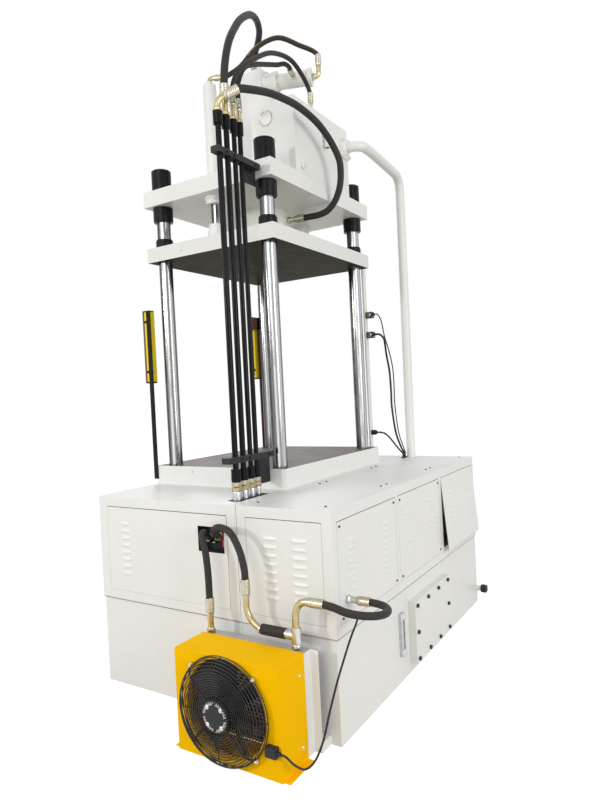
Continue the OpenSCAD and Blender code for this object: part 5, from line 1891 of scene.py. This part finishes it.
@dataclass
class Hoses:
    """All hoses and cables, laid as the photograph shows them."""

    def _press_hoses(self) -> tuple[Cord, ...]:
        """The hoses from the pipes to the cylinders and the valve.

        Returns:
            The cords with their routes.
        """
        elbow = VALVE.at(VALVE.elbow)
        pilot = [VALVE.at(VALVE.pilot_port, s) for s in (160, 110)]
        top = VALVE.elbow_top
        return (
            Cord("hose_fill", (
                (832, 385, 2960), (832, 385, 3010), (815, 385, 3130), (770, 378, 3250), (690, 355, 3360),
                (570, 315, 3485), (390, 250, 3620), (270, 210, 3665), (170, 160, 3665), (100, 100, 3650),
                (55, 45, 3625), (40, 20, 3590), (40, 20, 3550)), 38),
            Cord("hose_return_cylinder", (
                (430, 26, 3322), (394, 52, 3332), (310, 110, 3410), (220, 170, 3540), (110, 250, 3620),
                (-10, 330, 3600), (-60, 390, 3570), (elbow.x, elbow.y, top), (elbow.x, elbow.y, top - 40)),
                28, line=(0.3, 0.8)),
            Cord("hose_prefill", (
                (772, 385, 2950), (772, 385, 3000), (755, 398, 3080), (690, 412, 3165), (480, 400, 3315),
                (330, 385, 3385), (195, 378, 3415), (100, 375, 3400), (20, 380, 3345), (-10, 385, 3290),
                (-10, 385, 3250)), 26),
            Cord("hose_pilot", (
                (722, 385, 2940), (722, 385, 2990), (710, 383, 3080), (645, 378, 3180), (520, 360, 3255),
                (380, 340, 3320), (270, 338, 3365), (200, 342, 3398), *pilot), 26),
            Cord("hose_main_cylinder", (
                (862, 425, 2950), (831, 465, 2975), (750, 490, 2995), (615, 505, 3025), (490, 520, 3035),
                (370, 530, 3035), (225, 550, 3000), (100, 560, 2940), (30, 575, 2855), (10, 575, 2785),
                (-10, 555, 2705), (-30, 510, 2635), (-42, 450, 2590), (-50, 385, 2577),
                MAIN_PORT.at(MAIN_PORT.straight), MAIN_PORT.at(MAIN_PORT.hose_end)), 38),
        )

    def _cooler_hoses(self) -> tuple[Cord, ...]:
        """The hoses and the cable of the oil cooler.

        Returns:
            The cords with their routes.
        """
        return (
            Cord("cooler_hose_in", (
                (1000, 285, 835), (1040, 293, 867), (1085, 320, 862), (1102, 350, 790), (1104, 360, 700),
                (1102, 360, 600), (1102, 360, 530)), 32, steps=10),
            Cord("cooler_hose_out", (
                (1000, 347, 845), (1040, 350.2, 877), (1075, 410, 908), (1092, 490, 895), (1100, 545, 820),
                (1102, 568, 740), (1102, 570, 690), (1102, 570, 640)), 32, steps=10),
            Cord("cooler_hose_tank", (
                (1102, 910, 640), (1102, 960, 640), (1113, 1020, 638), (1127, 1080, 632), (1112, 1138, 624),
                (1070, 1180, 615), (1012, 1196, 607), (954, 1180, 602), (913, 1138, 600), (900, 1085, 600),
                (900, 1030, 600)), 32),
            Cord("fan_cable", (
                (1335, 880, 125), (1335, 905, 122), (1312, 928, 85), (1255, 938, 42), (1190, 945, 45),
                (1150, 962, 110), (1140, 990, 220), (1120, 1020, 340), (1090, 1045, 440), (1040, 1050, 500),
                (970, 1040, 530), (915, 1020, 540), (905, 1005, 540), (905, 985, 540)),
                9, Finish.PLASTIC, Stiffness.MEDIUM),
        )

    def _sensor_cables(self) -> tuple[Cord, ...]:
        """The cables from the position sensors down to the deck.

        Returns:
            The cords with their routes.
        """
        return (
            Cord("sensor_cable_upper", (
                (-597, 466, 2005), (-597, 488, 2003), (-612, 505, 1960), (-622, 512, 1900), (-655, 508, 1845),
                (-742, 500, 1740), (-786, 500, 1620), (-778, 505, 1480), (-774, 507, 1369), (-800, 513, 1194),
                (-858, 518, 1085), (-900, 514, 1040), (-900, 514, 1008)),
                8, Finish.PLASTIC, Stiffness.MEDIUM),
            Cord("sensor_cable_middle", (
                (-597, 466, 1870), (-597, 482, 1870), (-604, 502, 1862), (-628, 512, 1838), (-672, 500, 1792),
                (-727, 482, 1729), (-768, 480, 1621), (-762, 488, 1480), (-758, 490, 1369), (-785, 498, 1194),
                (-845, 506, 1085), (-880, 514, 1035), (-880, 514, 1008)), 14, Finish.PLASTIC),
            Cord("sensor_cable_lower", (
                (-597, 444, 1205), (-597, 460, 1205), (-604, 478, 1202), (-630, 488, 1192), (-672, 488, 1174),
                (-725, 487, 1146), (-790, 490, 1100), (-840, 502, 1055), (-860, 514, 1032),
                (-860, 514, 1008)), 12, Finish.PLASTIC),
        )

    def build(self) -> None:
        """Builds every cord."""
        for cord in self._press_hoses() + self._cooler_hoses() + self._sensor_cables():
            cord.build()


# Guards and sensors


@dataclass
class Guarding(SubAssembly):
    """Light curtains on their posts, the position rail and its sensors."""

    dressed: tuple[tuple[str, Finish, float], ...] = (("position_rail", Finish.CREAM, 0.001),)
    height: float = 420.0
    width: float = 45.0
    depth: float = 54.0
    near: Point = (551.0, -462.5, 1610.0)
    far: Point = (-507.0, -464.5, 1625.0)
    post_x: float = 573.5
    post_y: float = -458.5
    post_foot: float = 1030.0
    near_top: float = 2035.0
    far_top: float = 2075.0
    far_leg: float = 60.0
    far_sheet: float = 6.0
    sensor_x: float = -597.5
    sensor_z: tuple[float, float] = (2005.0, 1870.0)
    switch_z: float = 1205.0
    rail_back: float = 404.0

    def _curtain(self, maker: Maker, at: Point, lens: int) -> None:
        """Adds one light curtain, its lens strip on one side.

        Args:
            maker: The piece under way.
            at: Middle of its back at the foot, in millimetres.
            lens: -1 for a strip towards -X, 1 towards +X.
        """
        x, y, z = at
        w, d, h = self.width / 2, self.depth, self.height
        maker.box(mm(x - w, y - d + 0.5, z), mm(x + w, y, z + h), Finish.CURTAIN, 0.005)
        low, high = sorted((x + lens * (w - 0.6), x + lens * (w + 0.4)))
        maker.boxes((((low, y - d / 2 - 14, z + 22), (high, y - d / 2 + 14, z + h - 22)),
                     ((x - 13, y - d, z + 30), (x + 13, y - d + 0.9, z + h - 30))), Finish.LENS)
        maker.boxes([((x - w + 1, y - d + 1, foot), (x + w - 1, y - 1, foot + 10))
                     for foot in (z - 8, z + h - 2)], Finish.PLASTIC, 0.004)
        if lens < 0:
            strip = ((x + w - 0.2, y - d + 0.6, z - 6), (x + w + 0.8, y - d + 14, z + h + 7))
            maker.boxes([strip], Finish.BROWN)
        maker.boxes([((x - w - 0.4, y - d, up - 9), (x + w + 0.4, y - 2, up + 9))
                     for up in (z + 60, z + h - 60)], Finish.PLASTIC, 0.0012)

    def _curtains(self) -> None:
        """Builds both light curtains."""
        maker = Maker("light_curtain_bodies")
        self._curtain(maker, self.near, -1)
        self._curtain(maker, self.far, 1)
        maker.done(Slot.CURTAIN, "light_curtains")

    def _posts(self) -> None:
        """Builds the slim black near post and the brown angle post of the far side."""
        x, y, foot, t = self.post_x, self.post_y, self.post_foot, self.far_sheet
        near = Maker("near_curtain_post")
        near.box(mm(x, y - 22, foot), mm(x + 8, y + 8, self.near_top), Finish.BLACK, 0.0015)
        near.done(Slot.BLACK_STEEL)
        far = Maker("far_curtain_post")
        left, leg, top = -x - t, self.far_leg, self.far_top
        far.boxes((((left, y - t, foot), (left + leg, y, top)),
                   ((left, y - t, foot), (left + t, y - t + leg, top)),
                   ((left, y - t, top - 92), (-x + 133, y, top))), Finish.BROWN, 0.0012)
        far.done(Slot.BROWN, "curtain_posts")

    def _sensors(self) -> None:
        """Builds the two threaded sensors and the lower switch."""
        maker = Maker("position_switches")
        x, back = self.sensor_x, self.rail_back
        screw = ((0.0042, 0.0), (0.0042, 0.001), (0.002, 0.002))
        gland = ((0.0125, 0.0), (0.0125, 0.010), (0.0095, 0.013), (0.0078, 0.016))
        face = ((0.0145, 0.0), (0.0145, 0.0085), (0.0135, 0.0095), (0.0, 0.0095))
        for z in self.sensor_z:
            maker.box(mm(x - 30, back, z - 21), mm(x + 12, back + 46, z + 21), Finish.PLASTIC, 0.003)
            for sx, sz in ((-24, -15), (-24, 15), (6, -15), (6, 15)):
                maker.turned(screw, mm(x + sx, back + 46, z + sz), Y_AXIS, Finish.ZINC, 16)
            maker.turned(gland, mm(x, back + 45.5, z), Y_AXIS, Finish.PLASTIC, 28)
            maker.nut(mm(x + 12, back + 23, z), X_AXIS, 0.032, 0.005, Finish.ZINC)
            maker.turned(face, mm(x + 16, back + 23, z), X_AXIS, Finish.BRASS, 32)
        switch = ((0.0165, 0.0), (0.017, 0.002), (0.017, 0.030), (0.013, 0.037), (0.0070, 0.040))
        maker.turned(switch, mm(x, back, self.switch_z), Y_AXIS, Finish.PLASTIC, 36)
        maker.done(Slot.BLACK_PLASTIC, "position_sensors")

    def build(self) -> None:
        """Builds and dresses the guards."""
        self._curtains()
        self._posts()
        self.dress()
        self._sensors()


# Oil cooler


@dataclass
class OilCooler(SubAssembly):
    """Floor-standing oil cooler: shroud, core, fan, wire guard, motor and frame."""

    dressed: tuple[tuple[str, Finish, float], ...] = (
        ("cooler_shroud", Finish.YELLOW, 0.002), ("cooler_core", Finish.ALLOY, 0.001),
        ("cooler_fan", Finish.BLADE, 0.0008), ("fan_terminal_box", Finish.PLASTIC, 0.003),
        ("cooler_frame", Finish.CREAM, 0.001), ("fan_motor", Finish.PLASTIC, 0.003))
    x0: float = 1130.0
    x1: float = 1320.0
    y: float = 606.0
    width: float = 538.0
    height: float = 438.0
    fan_y: float = 602.0
    fan_z: float = 228.0
    guard_x: float = 1376.0
    rings: int = 10
    first_ring: float = 82.0
    ring_pitch: float = 10.0
    spoke_start: float = 62.0
    spoke_gap: float = 3.2
    knee: float = 172.0
    guard_r: float = 222.0
    wire: float = 2.2

    def build(self) -> None:
        """Builds and dresses the cooler."""
        self.dress()
        self._guard()
        self._small_screws()

    def _at(self, radius: float, angle: float, x: float) -> Vector:
        """A point round the fan's axis, in metres."""
        return Vector((x, self.fan_y + radius * math.cos(angle), self.fan_z + radius * math.sin(angle))) * MM

    def _rim(self, inset: float = 0.0) -> list[tuple[float, float]]:
        """The guard's curved rim.

        Args:
            inset: How far within the rings the line runs, in millimetres.

        Returns:
            Radius and X at each sixth of the bend, from past the knee to the edge.
        """
        foot = self.x1 + 10
        places = []
        for turn in (math.radians(15 * i) for i in range(1, 7)):
            places.append((self.knee + (self.guard_r - self.knee - inset) * math.sin(turn),
                           foot + (self.guard_x - foot - inset) * math.cos(turn)))
        return places

    def _spokes(self, maker: Maker) -> None:
        """Adds the spokes, by turns single and in pairs.

        Args:
            maker: The piece under way.
        """
        flat = self.guard_x - 3.6
        for k, angle in enumerate(turns(8)):
            for s in (-self.spoke_gap, self.spoke_gap) if k % 2 else (0.0,):
                shift = Vector((0, -math.sin(angle), math.cos(angle))) * s * MM
                stops = [(self.spoke_start, flat), (self.knee, flat), *self._rim(3.4)]
                line = [self._at(r, angle, x) + shift for r, x in stops]
                maker.swept(line, self.wire * MM, Finish.WIRE, 8)

    def _guard(self) -> None:
        """Builds the wire guard: rings, spokes, hub plates and clamps."""
        maker = Maker("fan_wire_guard")
        flat = [(self.first_ring + self.ring_pitch * i, self.guard_x) for i in range(self.rings)]
        for r, x in flat + self._rim():
            maker.torus(self._at(0, 0, x), X_AXIS, r * MM, self.wire * MM, Finish.WIRE)
        self._spokes(maker)
        hub = ((0.0645, 0.0), (0.0650, 0.001), (0.0650, 0.017), (0.0635, 0.019), (0.0, 0.019))
        maker.turned(hub, self._at(0, 0, self.guard_x - 8), X_AXIS, Finish.PLASTIC, 72)
        self._hub_plates(maker)
        for angle in turns(4, math.pi / 4):
            at = self._at(self.guard_r + 4, angle, self.x1)
            maker.bar(at, at + Vector((0.018, 0, 0)), 0.0098, Finish.ZINC, 28, 0.002)
            maker.bar(at + Vector((0.017, 0, 0)), at + Vector((0.024, 0, 0)), 0.0062, Finish.ZINC, 24, 0.002)
        maker.done(Slot.WIRE, "fan_guard")

    def _hub_plates(self, maker: Maker) -> None:
        """Adds the toothed ring, the disc on it and its four bolts at the hub's middle.

        Args:
            maker: The piece under way.
        """
        place = laid(self._at(0, 0, self.guard_x + 10.4), X_AXIS)
        maker.prism(toothed(34, 61.0, 52.0), place, 0.0012, Finish.STEEL)
        disc = ((0.0475, 0.0), (0.0475, 0.0030), (0.0455, 0.0040), (0.0, 0.0040))
        maker.turned(disc, self._at(0, 0, self.guard_x + 10.2), X_AXIS, Finish.PLASTIC, 60)
        head = ((0.0092, 0.0), (0.0092, 0.0030), (0.0072, 0.0046), (0.0, 0.0048))
        for angle in turns(4, math.pi / 4):
            maker.turned(head, self._at(49, angle, self.guard_x + 11), X_AXIS, Finish.ZINC, 28)

    def _small_screws(self) -> None:
        """Adds the plated screws along the shroud's edges."""
        maker = Maker("shroud_screws")
        side_head = ((0.0078, 0.0), (0.0078, 0.0018), (0.0052, 0.0040), (0.0, 0.0046))
        top_head = ((0.0048, 0.0), (0.0048, 0.0012), (0.0030, 0.0026), (0.0, 0.0030))
        for z in (66, 359):
            for way in (-1, 1):
                at = mm(self.x0 + 38, self.y + way * (self.width / 2 - 0.2), z)
                maker.turned(side_head, at, (0, way, 0), Finish.ZINC, 24)
        for y in (-230, -80, 80, 230):
            maker.turned(top_head, mm(self.x0 + 12, self.y + y, self.height - 0.2), Z_AXIS, Finish.ZINC, 20)
        maker.done(Slot.STEEL)


def write_sizes() -> None:
    """Brings the view layer up to date."""
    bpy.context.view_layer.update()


def main() -> None:
    """Builds the scene in order."""
    View().build()
    Studio().build()
    for part in (Hoses(), BaseCabinet(), PowerUnit(), PressFrame(), SlideGroup(), TopWorks(), PipeRow(),
                 Guarding(), OilCooler()):
        part.build()
        LOG.info("%s done", type(part).__name__)
    write_sizes()


if __name__ == "__main__":
    main()
